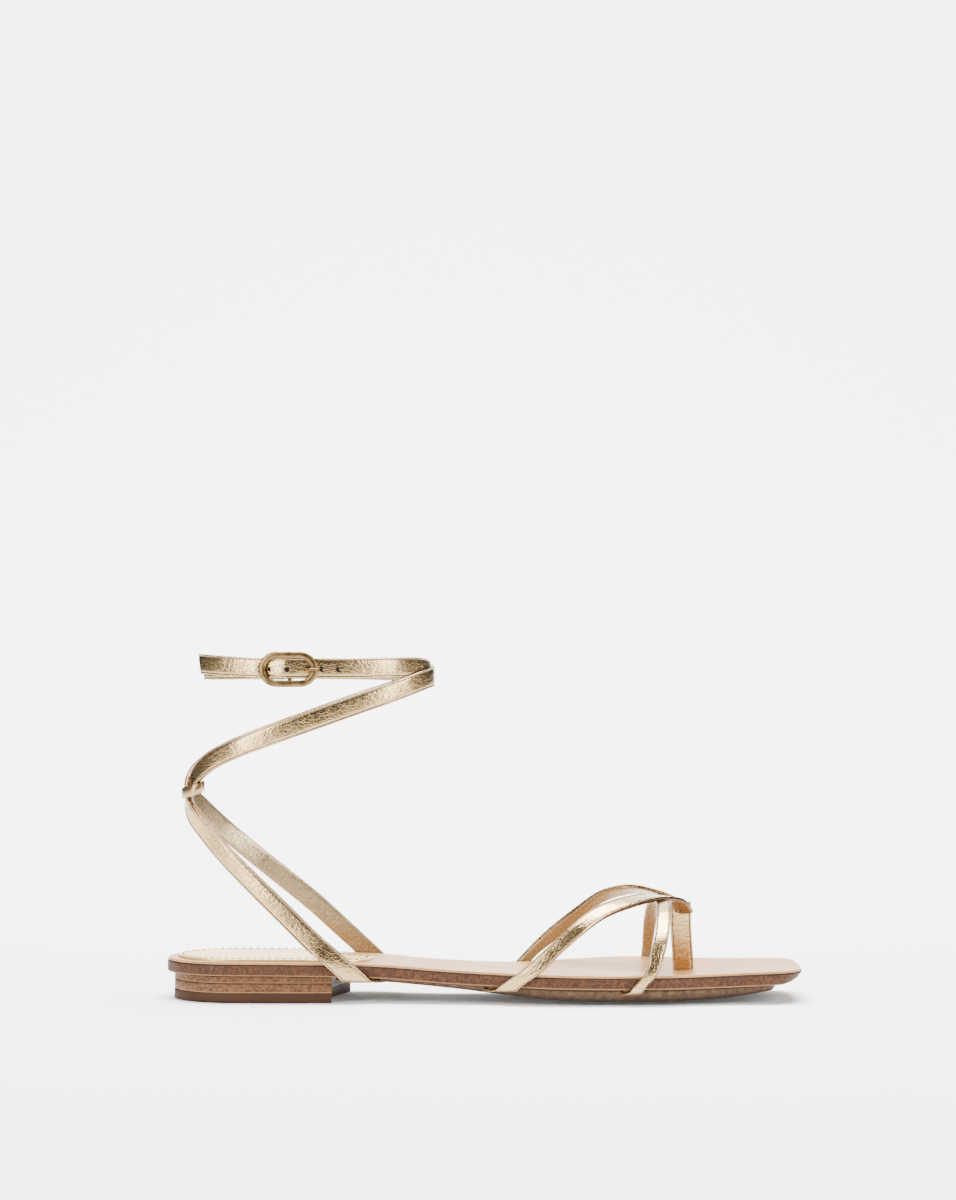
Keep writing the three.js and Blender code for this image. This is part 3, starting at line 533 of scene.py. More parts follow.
def strap(rows, width, slant=0.0):
    """A ribbon along rows. On its map the inner side lies 3 beyond the outer side."""
    section = full_section()
    stations = strap_stations(rows)
    corners, faces, places = [], [], []
    run, lengths = 0.0, []
    before = None
    for t in stations:
        p, w, n = strap_frame(rows, t)
        if before is not None:
            run += (p - before).length
        lengths.append(run)
        last = t == 1.0
        ahead = (p - before).normalized() if last else Vector()
        before = p
        for a, b in section:
            corners.append(p + w * (a * width / 2) + n * (b * STRAP_THICKNESS / 2) + ahead * (slant * a))
    sides = len(section)
    for k in range(len(stations) - 1):
        for j in range(sides):
            m = (j + 1) % sides
            faces.append([k * sides + j, k * sides + m, (k + 1) * sides + m, (k + 1) * sides + j])
            inner = section[j][1] < -0.5 and section[m][1] < -0.5
            side = 3 if inner else 0
            near, far = lengths[k] / MAP_LENGTH, lengths[k + 1] / MAP_LENGTH
            one, other = side + section[j][0], side + section[m][0]
            places.append([(near, one), (near, other), (far, other), (far, one)])
    for first in (0, (len(stations) - 1) * sides):
        faces.append([first + j for j in range(sides)])
        places.append([(lengths[-1] / MAP_LENGTH, 1.0)] * sides)
    return corners, faces, places


def ankle_normal(x, y):
    return Vector(((x - LOOP_CENTRE) / (LOOP_LENGTH / 2) ** 2, y / (LOOP_WIDTH / 2) ** 2, 0)).normalized()


def ankle_row(row, side, turned=1):
    along, across, up, layer = row
    x, y = LOOP_BACK + along * LOOP_LENGTH, side * across * LOOP_WIDTH / 2
    n = ankle_normal(x, y)
    p = Vector((x, y, RIM_HEIGHT + up * ANKLE_RISE))
    return p + n * (turned * layer * CROSSING_OFFSET), 1.0, n


def oval_place(angle, s, lift, z):
    """A place beside the oval: s along it from an angle, lift outward, z up."""
    long, wide = LOOP_LENGTH / 2, LOOP_WIDTH / 2
    phi = math.radians(angle)
    for _ in range(24):
        phi -= s / 24 / math.hypot(long * math.sin(phi), wide * math.cos(phi))
    x, y = LOOP_CENTRE + long * math.cos(phi), -wide * math.sin(phi)
    n = ankle_normal(x, y)
    return Vector((x, y, z)) + n * lift, 1.0, n


def oval_row(row):
    angle, lift, up = row
    return oval_place(angle, 0, lift * STRAP_THICKNESS, RIM_HEIGHT + up * ANKLE_RISE)


BAR_ANGLE = math.degrees(math.acos((LOOP_BACK + BUCKLE_ALONG - LOOP_CENTRE) / (LOOP_LENGTH / 2)))
BUCKLE_Z = RIM_HEIGHT + BUCKLE_UP * ANKLE_RISE
BAR_LIFT = -TAIL_LIFT
EYE_INNER = BAR_RADIUS + PART_GAP
EYE_OUTER = EYE_INNER + EYE_WALL
TAIL_OVER_BAR = BAR_LIFT + EYE_OUTER + LAYER_GAP + STRAP_THICKNESS / 2
FRAME_LIFT = TAIL_LIFT + STRAP_THICKNESS / 2 + LAYER_GAP + BUCKLE_THICKNESS / 2
PRONG_RING = BAR_RADIUS + PART_GAP + PRONG_RADIUS
OVER_FRAME = FRAME_LIFT + BUCKLE_THICKNESS / 2 + LAYER_GAP + PRONG_RADIUS


def buckle_spot(s, lift, z):
    return oval_place(BAR_ANGLE, s, lift, BUCKLE_Z + z)


def wall_foot(foot, narrow=1.0):
    """Rows that tuck a strap under the sole, fold it round the bottom edge and run up the wall."""
    side, along, lean = foot
    wall = INSOLE_THICKNESS + LAYER_GAP + MIDSOLE_THICKNESS
    out = WALL_SPACE + STRAP_THICKNESS / 2
    rows = []
    for drop, depth, outward, down in (
            (wall + out, STRAP_TUCK + out, 0, 1), (wall + out, out + 0.4, 0.15, 1),
            (wall + 0.55 * out, 0.25 * out, 0.75, 0.75), (wall - 0.8, 0, 1, 0),
            (-STRAP_ABOVE_RIM, 0, 1, 0)):
        x = along * SOLE_LENGTH - lean * (drop + depth)
        slope = half_width(side, x + 0.5) - half_width(side, x - 0.5)
        normal = Vector((-slope, side, 0)).normalized()
        p = Vector((x, side * half_width(side, x), rim_at(x) - drop)) + normal * (out - depth)
        n = (normal * outward + Vector((0, 0, -down))).normalized()
        rows.append((p, Vector((1, side * slope, 0)).normalized() * (narrow * math.hypot(1, lean)), n))
    return rows


def forefoot_row(row):
    along, across, up = row[:3]
    share = row[3] if len(row) > 3 else 1.0
    p = Vector((along * SOLE_LENGTH, across * BALL_WIDTH, FOREFOOT_RIM + up * INSTEP_RISE))
    y = (p.y - INSTEP_MIDDLE) / INSTEP_HALF_WIDTH ** 2
    z = (p.z - INSTEP_BASE) / INSTEP_HALF_HEIGHT ** 2
    return p, share, Vector((0, y, z)).normalized()


def post_row(row):
    return forefoot_row(row)[0], 1.0, Vector((0, -1, 0))


def instep_run(foot, rows):
    return wall_foot(foot, FOOT_NARROWS) + [forefoot_row(row) for row in rows]


LATERAL_ANKLE = dressed(
    wall_foot(LATERAL_HEEL_FOOT)
    + [ankle_row(row, -1) for row in LATERAL_HEEL_WRAP]
    + [ankle_row(row, 1) for row in ANKLE_DIAGONAL]
    + [ankle_row(row, 1) for row in FRONT_INSIDE]
    + [oval_row(row) for row in TOP_NEAR]
    + [buckle_spot(HOLE_REACH + 3, TAIL_LIFT, 0.5), buckle_spot(0.8 * EYE_OUTER, TAIL_OVER_BAR, 0.5),
       buckle_spot(-0.8 * EYE_OUTER, TAIL_OVER_BAR, 0.5), buckle_spot(-HOLE_REACH - 3, TAIL_LIFT, 0.5)]
    + [oval_row(row) for row in TAIL])
MEDIAL_ANKLE = dressed(
    wall_foot(MEDIAL_HEEL_FOOT)
    + [ankle_row(row, 1) for row in MEDIAL_HEEL_WRAP]
    + [ankle_row(row, -1, -1) for row in ANKLE_DIAGONAL]
    + [ankle_row(row, 1) for row in FRONT_OUTSIDE]
    + [oval_row(row) for row in TOP_FAR]
    + [buckle_spot(-(EYE_INNER + 0.5 * EYE_WALL), BAR_LIFT, -0.2)])
LATERAL_FOREFOOT = dressed(instep_run(LATERAL_INSTEP_FOOT, LATERAL_INSTEP))
MEDIAL_FOREFOOT = dressed(instep_run(MEDIAL_INSTEP_FOOT, MEDIAL_INSTEP))
BAND = dressed(instep_run(BAND_LATERAL_FOOT, TOE_BAND) + wall_foot(BAND_MEDIAL_FOOT, FOOT_NARROWS)[::-1])
POST = dressed([post_row(row) for row in TOE_POST])


def closed_sweep(rings, closed):
    """A skin through rings of points, a loop when closed, else with flat ends."""
    sides = len(rings[0])
    corners = [corner for ring in rings for corner in ring]
    count = len(rings)
    faces, places = [], []
    for k in range(count if closed else count - 1):
        q = (k + 1) % count
        for j in range(sides):
            m = (j + 1) % sides
            faces.append([k * sides + j, k * sides + m, q * sides + m, q * sides + j])
            across = [2 * j / sides - 1, 2 * (j + 1) / sides - 1]
            places.append([(k / 100, across[0]), (k / 100, across[1]),
                           ((k + 1) / 100, across[1]), ((k + 1) / 100, across[0])])
    if not closed:
        for first in (0, (count - 1) * sides):
            faces.append([first + j for j in range(sides)])
            places.append([(0.0, 0.0)] * sides)
    return corners, faces, places


def tube(points, radii, sides=14):
    """A round tube through points, its radius eased between the given radii."""
    rings = []
    steps = 6 * (len(points) - 1)
    for k in range(steps + 1):
        t = k / steps
        p = curve_point(points, t, True)
        ahead = curve_point(points, min(1, t + 0.01), True)
        run = (ahead - curve_point(points, max(0, t - 0.01), True)).normalized()
        across = run.cross(Vector((0, 0, 1)))
        across = (across if across.length > 0.2 else run.cross(Vector((0, 1, 0)))).normalized()
        up = across.cross(run)
        place = t * (len(radii) - 1)
        i = min(int(place), len(radii) - 2)
        radius = radii[i] + (radii[i + 1] - radii[i]) * (place - i)
        rings.append([p + across * (radius * math.cos(2 * math.pi * j / sides))
                      + up * (radius * math.sin(2 * math.pi * j / sides)) for j in range(sides)])
    return closed_sweep(rings, False)


def eye():
    """The strap's end, folded round the bar of the buckle."""
    rings = []
    half = ANKLE_WIDTH / 2
    profile = ((EYE_INNER, -half), (EYE_OUTER - 0.3, -half), (EYE_OUTER, 0.3 - half),
               (EYE_OUTER, half - 0.3), (EYE_OUTER - 0.3, half), (EYE_INNER, half))
    for k in range(28):
        turn = 2 * math.pi * k / 28
        cos, sin = math.cos(turn), math.sin(turn)
        rings.append([buckle_spot(r * cos, BAR_LIFT + r * sin, z)[0] for r, z in profile])
    return closed_sweep(rings, True)


def strap_place(rows, target):
    """The share along a strap nearest to a point."""
    spots = [k / 600 for k in range(601)]
    return min(spots, key=lambda t: (curve_point([row[0] for row in rows], t, True) - target).length)


def strap_hole(s):
    """A punched hole drawn as a low rolled rim round a flat disc, all painted near black as the shade
    inside the hole.
    """
    target = buckle_spot(s, TAIL_LIFT, 0)[0]
    t = strap_place(LATERAL_ANKLE, target)
    p, w, n = strap_frame(LATERAL_ANKLE, t)
    run = n.cross(w).normalized()
    centre = p + w * (target - p).dot(w) + n * (0.97 * STRAP_THICKNESS / 2)
    rims = ((HOLE_RADIUS + 0.28, -0.05), (HOLE_RADIUS + 0.14, 0.07), (HOLE_RADIUS, 0.03),
            (HOLE_RADIUS - 0.1, 0.012), (0.02, 0.01))
    rings = []
    for radius, height in rims:
        ring = []
        for j in range(18):
            turn = 2 * math.pi * j / 18
            beside = run * math.cos(turn) + w * math.sin(turn)
            ring.append(centre + beside * radius + n * height)
        rings.append(ring)
    return closed_sweep(rings, False)


def stitch(start, run, normal, length, radius):
    """One thread stitch that dips at both ends."""
    across = run.cross(normal)
    rings = []
    for share, size, rise in STITCH_SHAPE:
        centre = start + run * (length * share) + normal * (rise * radius)
        rings.append([centre + across * (size * radius * math.cos(math.pi * j / 3))
                      + normal * (size * radius * math.sin(math.pi * j / 3)) for j in range(6)])
    return closed_sweep(rings, False)


def pad_stitches():
    """Stitches at an even pitch round the pad's border."""
    rows, columns = 120, 20
    loop = [layer_spot(PAD, i / rows, 2 * j / columns - 1, lambda x: PAD_MARGIN, pad_base)
            for i, j in border_of(rows, columns)]
    count = len(loop)
    inner = []
    for k in range(count):
        run = loop[(k + 2) % count] - loop[k - 2]
        inward = Vector((-run.y, run.x, 0)).normalized()
        inner.append(loop[k] + inward * PAD_STITCH_INSET)
    shapes, due, passed = [], 0.0, 0.0
    for k in range(count):
        step = inner[(k + 1) % count] - inner[k]
        step.z = 0
        while due <= passed + step.length and step.length > 0.001:
            at = inner[k] + step * ((due - passed) / step.length)
            at.z = pad_base(at.x, at.y) + PAD_THICKNESS
            up = Vector((0, 0, 1))
            shapes.append(stitch(at, step.normalized(), up, PAD_STITCH_LENGTH, PAD_THREAD_RADIUS))
            due += PAD_STITCH_PITCH
        passed += step.length
    return shapes


def post_stitches():
    """Two lines of stitches down the toe post."""
    shapes = []
    for a in (-0.8, 0.8):
        for k in range(8):
            t = 0.30 + 0.085 * k
            p, w, n = strap_frame(POST, t)
            ahead = (strap_frame(POST, t + 0.02)[0] - p).normalized()
            spot = p + w * (a * POST_WIDTH / 2) + n * (0.76 * STRAP_THICKNESS / 2)
            shapes.append(stitch(spot, ahead, n, POST_STITCH_LENGTH, POST_THREAD_RADIUS))
    return shapes


def buckle_ring():
    """The frame: a soft-edged band round an oval with straight flanks."""
    corner = BUCKLE_HEIGHT / 2
    straight = BUCKLE_LENGTH / 2 - corner
    middle = corner - BUCKLE_BAND / 2
    path = []
    for end in (1, -1):
        for k in range(25):
            turn = math.pi * (k / 24 - 0.5)
            path.append((end * straight, end * math.cos(turn), end * math.sin(turn)))
        for k in range(1, 6):
            path.append((end * straight * (1 - k / 3), 0.0, end * 1.0))
    rings = []
    for s, cos, sin in path:
        ring = []
        for j in range(16):
            turn = 2 * math.pi * j / 16
            side, out = math.cos(turn), math.sin(turn)
            r = middle + BUCKLE_BAND / 2 * math.copysign(abs(side) ** 0.8, side)
            lift = FRAME_LIFT + BUCKLE_THICKNESS / 2 * math.copysign(abs(out) ** 0.8, out)
            ring.append(buckle_spot(s + r * cos, lift, r * sin)[0])
        rings.append(ring)
    return closed_sweep(rings, True)


def buckle_frame():
    leg_z = BUCKLE_HEIGHT / 2 - BUCKLE_BAND / 2
    shapes = [buckle_ring()]
    step = (BAR_LIFT - FRAME_LIFT) / 3
    for side in (1, -1):
        leg = [buckle_spot(0, FRAME_LIFT + step * k, side * leg_z)[0] for k in range(4)]
        shapes.append(tube(leg, [BAR_RADIUS, BAR_RADIUS]))
    bar = [buckle_spot(0, BAR_LIFT, z)[0] for z in (-leg_z - BAR_RADIUS, 0, leg_z + BAR_RADIUS)]
    return shapes + [tube(bar, [BAR_RADIUS, BAR_RADIUS])]


def buckle_prong():
    ring = []
    for k in range(10):
        turn = PRONG_RING_START + PRONG_RING_TURN * k / 9
        cos, sin = math.cos(turn), math.sin(turn)
        ring.append(buckle_spot(PRONG_RING * cos, BAR_LIFT - PRONG_RING * sin, 0)[0])
    arm = [buckle_spot(s, lift, 0)[0] for s, lift in (
        (PRONG_RING * 0.99, BAR_LIFT - 0.2), (0.5 * HOLE_REACH, BAR_LIFT + 0.25 * TAIL_LIFT),
        (0.8 * HOLE_REACH, TAIL_LIFT - 0.6), (HOLE_REACH + 1.2, 0.5 * (TAIL_LIFT + OVER_FRAME)),
        (BUCKLE_LENGTH / 2 - BUCKLE_BAND, OVER_FRAME), (PRONG_REACH, OVER_FRAME))]
    return [tube(ring, [PRONG_RADIUS, PRONG_RADIUS]), tube(arm, PRONG_TAPER)]


def keeper():
    """A loop of thin leather round both straps where they cross behind the heel."""
    crossing = ankle_row(LATERAL_HEEL_WRAP[-1], -1)[0]
    centre = crossing.x + CROSSING_OFFSET
    deep = CROSSING_OFFSET + STRAP_THICKNESS / 2 + 0.15 + KEEPER_WALL / 2
    wide = 0.97 * ANKLE_WIDTH + KEEPER_WALL / 2
    half, wall = KEEPER_HEIGHT / 2, KEEPER_WALL / 2
    profile = ((wall, half - 0.3), (wall - 0.25, half), (0.25 - wall, half), (-wall, half - 0.3),
               (-wall, 0.3 - half), (0.25 - wall, -half), (wall - 0.25, -half), (wall, 0.3 - half))
    rings = []
    for k in range(72):
        turn = 2 * math.pi * k / 72
        cos, sin = math.cos(turn), math.sin(turn)
        ring = []
        for out, z in profile:
            y = (wide + out) * math.copysign(abs(cos) ** 0.5, cos)
            x = centre + (deep + out) * math.copysign(abs(sin) ** 0.5, sin) + KEEPER_BEND * y * y
            ring.append(Vector((x, y, crossing.z + z + KEEPER_LEAN * (x - centre))))
        rings.append(ring)
    return closed_sweep(rings, True)


# Looks: relief heights are in metres.
FOLD_HEIGHT = 0.0006
WRINKLE_HEIGHT = 0.00005
CELL_HEIGHT = 0.00006
GRAIN_HEIGHT = 0.00003


class Look:
    """A material whose colour, roughness and relief come from its own patterns."""

    def __init__(self, name, **plain):
        self.material = bpy.data.materials.new(name)
        self.material.use_nodes = True
        self.nodes = self.material.node_tree.nodes
        self.links = self.material.node_tree.links
        self.shader = self.nodes["Principled BSDF"]
        for key, value in plain.items():
            self.shader.inputs[key.replace("_", " ")].default_value = value

    def feed(self, socket, value):
        if isinstance(value, bpy.types.NodeSocket):
            self.links.new(value, socket)
        else:
            socket.default_value = value

    def space(self, kind, scale):
        node = self.nodes.new("ShaderNodeTexCoord")
        mapping = self.nodes.new("ShaderNodeMapping")
        mapping.inputs["Scale"].default_value = scale
        self.links.new(node.outputs[kind], mapping.inputs["Vector"])
        return mapping.outputs["Vector"]

    def axis(self, vector, name):
        node = self.nodes.new("ShaderNodeSeparateXYZ")
        self.links.new(vector, node.inputs[0])
        return node.outputs[name]

    def noise(self, vector, scale, detail=4.0, roughness=0.55):
        node = self.nodes.new("ShaderNodeTexNoise")
        self.links.new(vector, node.inputs["Vector"])
        node.inputs["Scale"].default_value = scale
        node.inputs["Detail"].default_value = detail
        node.inputs["Roughness"].default_value = roughness
        return node.outputs["Fac"]

    def cracks(self, vector, scale):
        node = self.nodes.new("ShaderNodeTexVoronoi")
        node.feature = "DISTANCE_TO_EDGE"
        self.links.new(vector, node.inputs["Vector"])
        node.inputs["Scale"].default_value = scale
        return node.outputs["Distance"]

    def calc(self, operation, a, b=0.0, c=0.0):
        node = self.nodes.new("ShaderNodeMath")
        node.operation = operation
        for socket, value in zip(node.inputs, (a, b, c)):
            self.feed(socket, value)
        return node.outputs[0]

    def level(self, value, low, high, to_low=0.0, to_high=1.0):
        node = self.nodes.new("ShaderNodeMapRange")
        for key, number in (("Value", value), ("From Min", low), ("From Max", high),
                            ("To Min", to_low), ("To Max", to_high)):
            self.feed(node.inputs[key], number)
        return node.outputs["Result"]

    def mix(self, share, first, second):
        node = self.nodes.new("ShaderNodeMix")
        node.data_type = "RGBA"
        self.feed(node.inputs["Factor"], share)
        self.feed(node.inputs[6], first)
        self.feed(node.inputs[7], second)
        return node.outputs[2]

    def bump(self, height, strength, distance, below=None):
        node = self.nodes.new("ShaderNodeBump")
        node.inputs["Strength"].default_value = strength
        node.inputs["Distance"].default_value = distance
        self.links.new(height, node.inputs["Height"])
        if below is not None:
            self.links.new(below, node.inputs["Normal"])
        return node.outputs["Normal"]

    def finish(self, color=None, roughness=None, normal=None, metallic=None):
        for key, value in (("Base Color", color), ("Roughness", roughness), ("Normal", normal),
                           ("Metallic", metallic)):
            if value is not None:
                self.feed(self.shader.inputs[key], value)
        return self.material


def foil_leather(name, light, dark, seam_and_edge_brown):
    """Crackled foil on thin leather with an edge seam, a darker outer edge, and an inner side painted
    darker as shade.
    """
    look = Look(name, Coat_Weight=0.15, Coat_Roughness=0.3)
    surface = look.space("UV", (1, 1, 1))
    across = look.axis(surface, "Y")
    width = look.calc("ABSOLUTE", across)
    creases = look.noise(look.space("UV", (120, 4.0, 1)), 1.0, 4.0, 0.6)
    drawn = look.noise(look.space("UV", (200, 0.9, 1)), 1.0, 3.0, 0.55)
    folds = look.noise(look.space("UV", (24, 0.5, 1)), 1.0, 3.0, 0.5)
    cells = look.cracks(look.space("UV", (48, 2.6, 1)), 1.0)
    grain = look.noise(look.space("Object", (1, 1, 1)), 1500.0, 3.0, 0.6)
    # Darker along the crease pattern.
    crease_dark = look.level(creases, 0.45, 0.7, 0.0, 0.2)
    color = look.mix(crease_dark, light, dark)
    cell_line = look.level(cells, 0.0, 0.05, 0.12, 0.0)
    color = look.mix(cell_line, color, dark)
    beside_seam = look.calc("ABSOLUTE", look.calc("SUBTRACT", width, 0.80))
    groove = look.level(beside_seam, 0.02, 0.085, 0.9, 0.0)
    color = look.mix(groove, color, seam_and_edge_brown)
    # The outer side turns darker along its edges.
    edge = look.level(width, 0.945, 0.975, 0.0, 0.88)
    inside = look.level(across, 1.4, 1.6)
    outer_edge = look.calc("MULTIPLY", edge, look.calc("SUBTRACT", 1.0, inside))
    color = look.mix(outer_edge, color, seam_and_edge_brown)
    # Painted shade: the inner side of the straps is mixed towards a darker, greyer foil colour.
    inner_shade = look.mix(0.8, light, rgb("7D7058"))
    color = look.mix(look.calc("MULTIPLY", inside, 0.8), color, inner_shade)
    roughness = look.level(grain, 0.3, 0.7, 0.2, 0.3)
    foil_share = look.level(groove, 0.0, 0.9, 1.0, 0.2)
    metallic = look.calc("SUBTRACT", foil_share, look.calc("MULTIPLY", inside, 0.28))
    patches = look.noise(look.space("UV", (5, 0.2, 1)), 1.0, 1.0, 0.5)
    crumpled = look.level(patches, 0.4, 0.62, 0.15, 1.5)
    cross_lines = look.calc("MULTIPLY", drawn, look.calc("MULTIPLY", inside, 2.6))
    wrinkles = look.calc("MULTIPLY", look.calc("ADD", creases, cross_lines), crumpled)
    relief = look.bump(folds, 0.35, FOLD_HEIGHT)
    relief = look.bump(wrinkles, 1.0, WRINKLE_HEIGHT, relief)
    relief = look.bump(look.level(cells, 0.0, 0.12), 0.5, CELL_HEIGHT, relief)
    relief = look.bump(grain, 0.5, GRAIN_HEIGHT, relief)
    return look.finish(color, roughness, relief, metallic)


def edge_leather(name, light, dark, top_shade, bottom_line_and_shade, roughness, spots=900.0, low_line=0.86):
    """Cut leather or board with painted shade along the top of its wall, under the layer above, and a band
    near the bottom: a lighter line on the board and the lifts, painted shade on the outsole.
    """
    look = Look(name, Specular_IOR_Level=0.2)
    down = look.axis(look.space("UV", (1, 1, 1)), "Y")
    place = look.space("Object", (1, 1, 1))
    speckle = look.noise(place, spots, 5.0, 0.7)
    broad = look.noise(place, 60.0, 3.0, 0.5)
    layers = look.noise(look.space("Object", (40, 40, 900)), 1.0, 3.0, 0.6)
    color = look.mix(look.level(speckle, 0.4, 0.62), light, dark)
    color = look.mix(look.level(broad, 0.3, 0.7, 0.0, 0.35), color, dark)
    color = look.mix(look.level(layers, 0.4, 0.6, 0.0, 0.3), color, dark)
    in_wall = look.level(down, -0.05, 0.0)
    # Painted shade along the top of the wall, in the gap under the layer above.
    top = look.calc("MULTIPLY", look.level(down, 0.06, 0.16, 0.85, 0.0), in_wall)
    color = look.mix(top, color, top_shade)
    # A band towards the bottom of the wall: painted shade on the outsole, a lighter line on the others.
    color = look.mix(look.level(down, low_line, 0.95, 0.0, 0.85), color, bottom_line_and_shade)
    relief = look.bump(speckle, 0.35, 0.00012)
    relief = look.bump(layers, 0.2, 0.0001, relief)
    rough = look.level(speckle, 0.3, 0.7, roughness - 0.07, roughness + 0.07)
    return look.finish(color, rough, relief)


def smooth_leather(name, light, dark, roughness, metallic, coat, crackle, streaks=0.0, shine=0.5):
    """Leather or rubber with pores, cloudy tones, cracks and streaks along the sole."""
    look = Look(
        name, Specular_IOR_Level=shine, Coat_Weight=coat, Coat_Roughness=0.12, Metallic=metallic)
    place = look.space("Object", (1, 1, 1))
    broad = look.noise(place, 45.0, 4.0, 0.55)
    pores = look.noise(place, 2200.0, 2.0, 0.6)
    cells = look.cracks(place, 520.0)
    color = look.mix(look.level(broad, 0.32, 0.7, 0.0, 0.4), light, dark)
    line = look.level(cells, 0.0, 0.05, 0.35 * crackle, 0.0)
    color = look.mix(line, color, dark)
    drawn = look.noise(look.space("Object", (25, 420, 25)), 1.0, 4.0, 0.6)
    color = look.mix(look.level(drawn, 0.45, 0.7, 0.0, streaks), color, dark)
    relief = look.bump(pores, 0.15, 0.00005)
    relief = look.bump(look.level(cells, 0.0, 0.1), 0.35 * crackle + 0.02, 0.0001, relief)
    relief = look.bump(broad, 0.12, 0.0006, relief)
    rough = look.level(pores, 0.3, 0.7, roughness - 0.05, roughness + 0.05)
    return look.finish(color, rough, relief)


def brushed_metal(name, light, dark):
    look = Look(name, Metallic=1.0)
    place = look.space("Object", (1, 1, 1))
    strokes = look.noise(look.space("Object", (400, 400, 3500)), 1.0, 3.0, 0.6)
    tarnish = look.noise(place, 330.0, 4.0, 0.6)
    color = look.mix(look.level(tarnish, 0.42, 0.66), light, dark)
    rough = look.level(strokes, 0.3, 0.7, 0.28, 0.44)
    return look.finish(color, rough, look.bump(strokes, 0.15, 0.00004))


def thread(name, light, dark):
    look = Look(name, Specular_IOR_Level=0.08)
    twist = look.noise(look.space("Object", (1, 1, 1)), 3500.0, 2.0, 0.5)
    color = look.mix(look.level(twist, 0.35, 0.65), light, dark)
    return look.finish(color, 0.6, look.bump(twist, 0.4, 0.00008))


foil = foil_leather("foil leather", rgb("B7996B"), rgb("7A6343"), rgb("3E2415"))
keeper_look = smooth_leather(
    "keeper leather", rgb("B0926A"), rgb("5E472B"), roughness=0.3, metallic=1.0, coat=0.0, crackle=1.0)
# The board's top line is painted shade under the insole.
midsole_look = edge_leather(
    "leatherboard", rgb("57331B"), rgb("27150A"),
    top_shade=rgb("100805"), bottom_line_and_shade=rgb("86603F"), roughness=0.62)
# Painted shade: the outsole's wall darkens over its lower part towards the floor, and its top line is the
# shaded gap under the board.
outsole_look = edge_leather(
    "outsole leather", rgb("5E442C"), rgb("39281A"),
    top_shade=rgb("1C1009"), bottom_line_and_shade=rgb("1E130B"), roughness=0.6, spots=500.0, low_line=0.4)
# The lifts' top line is painted shade under the layer above.
stack_look = edge_leather(
    "stacked leather", rgb("7A5131"), rgb("3C2413"),
    top_shade=rgb("120A06"), bottom_line_and_shade=rgb("94744C"), roughness=0.58)
rubber_look = smooth_leather(
    "heel rubber", rgb("3D2618"), rgb("27170D"),
    roughness=0.62, metallic=0.0, coat=0.0, crackle=0.15, streaks=0.0, shine=0.15)
insole_look = smooth_leather(
    "insole leather", rgb("AE7E48"), rgb("6A4A2A"),
    roughness=0.45, metallic=0.0, coat=0.04, crackle=0.1, streaks=0.6, shine=0.28)
pad_look = smooth_leather(
    "pad leather", rgb("DDB874"), rgb("B08E5A"), roughness=0.38, metallic=0.6, coat=0.1, crackle=1.0)
metal_look = brushed_metal("antique brass", rgb("7A6340"), rgb("53422A"))
thread_look = thread("thread", rgb("6E5038"), rgb("4A3322"))
# Painted shade: the holes are near-black discs standing in for the dark inside each hole.
hole_shade_look = thread("hole shade", rgb("1E130C"), rgb("100A06"))

insole_levels = [
    (lambda x: INSOLE_INSET + 0.35, insole_top, 0.2),
    (lambda x: INSOLE_INSET + 0.1, lambda x, y: insole_top(x, y) - 0.12, 0.3),
    (lambda x: INSOLE_INSET, lambda x, y: insole_top(x, y) - 0.4, 0.5),
    (lambda x: INSOLE_INSET + 0.1, lambda x, y: insole_top(x, y) - INSOLE_THICKNESS, 0.8),
]
piece("insole_sock", [sole_layer(FULL, insole_levels)], insole_look, "insole")
piece("midsole_board", [sole_layer(FULL, midsole_levels())], midsole_look, "midsole")
outsole_front = SOLE_LENGTH - OUTSOLE_FRONT_GAP - END_BOW
outsole_form = dict(
    FULL, start=OUTSOLE_START, start_bow=0, end_lateral=outsole_front, end_medial=outsole_front,
    outline=outsole_outline)
outsole_levels = [
    (lambda x: OUTSOLE_INSET, outsole_top, 0.0),
    (lambda x: OUTSOLE_INSET, between(outsole_top, outsole_bottom, 0.4), 0.4),
    (lambda x: OUTSOLE_INSET + 0.35, between(outsole_top, outsole_bottom, 0.8), 0.8),
    (lambda x: OUTSOLE_INSET + 0.9, outsole_bottom, 1.0),
]
outsole_shapes = [sole_layer(outsole_form, outsole_levels)]
piece("outsole_leather", outsole_shapes, outsole_look, "outsole")


def floor_level(x, y):
    return 0.0


def top_piece_top(x, y):
    return TOP_PIECE_HEIGHT


def lower_lift_top(x, y):
    return TOP_PIECE_HEIGHT + LOWER_LIFT_HEIGHT


def upper_lift_top(x, y):
    return midsole_bottom(x, y) - LAYER_GAP


def heel_part(name, node, top, bottom, inset, material):
    shape = sole_layer(HEEL, heel_levels(top, bottom, inset), 70, 20)
    piece(name, [shape], material, node)


heel_part("heel_top_rubber", "heel_top_piece", top_piece_top, floor_level,
          HEEL_INSET, rubber_look)
heel_part("heel_stack_lower", "heel_lift_lower", lower_lift_top, top_piece_top,
          STACK_INSET, stack_look)
heel_part("heel_stack_upper", "heel_lift_upper", upper_lift_top, lower_lift_top,
          STACK_INSET, stack_look)


def pad_height(share):
    return lambda x, y: pad_base(x, y) + share * PAD_THICKNESS


pad_levels = [
    (lambda x: PAD_MARGIN + 0.5, pad_height(1.0), 0.0),
    (lambda x: PAD_MARGIN + 0.15, pad_height(0.88), 0.3),
    (lambda x: PAD_MARGIN, pad_height(0.6), 0.6),
    (lambda x: PAD_MARGIN, pad_base, 1.0),
]
piece("heel_pad_cover", [sole_layer(PAD, pad_levels, 90, 24)], pad_look, "heel_pad")
piece("heel_pad_stitches", pad_stitches(), thread_look, None)

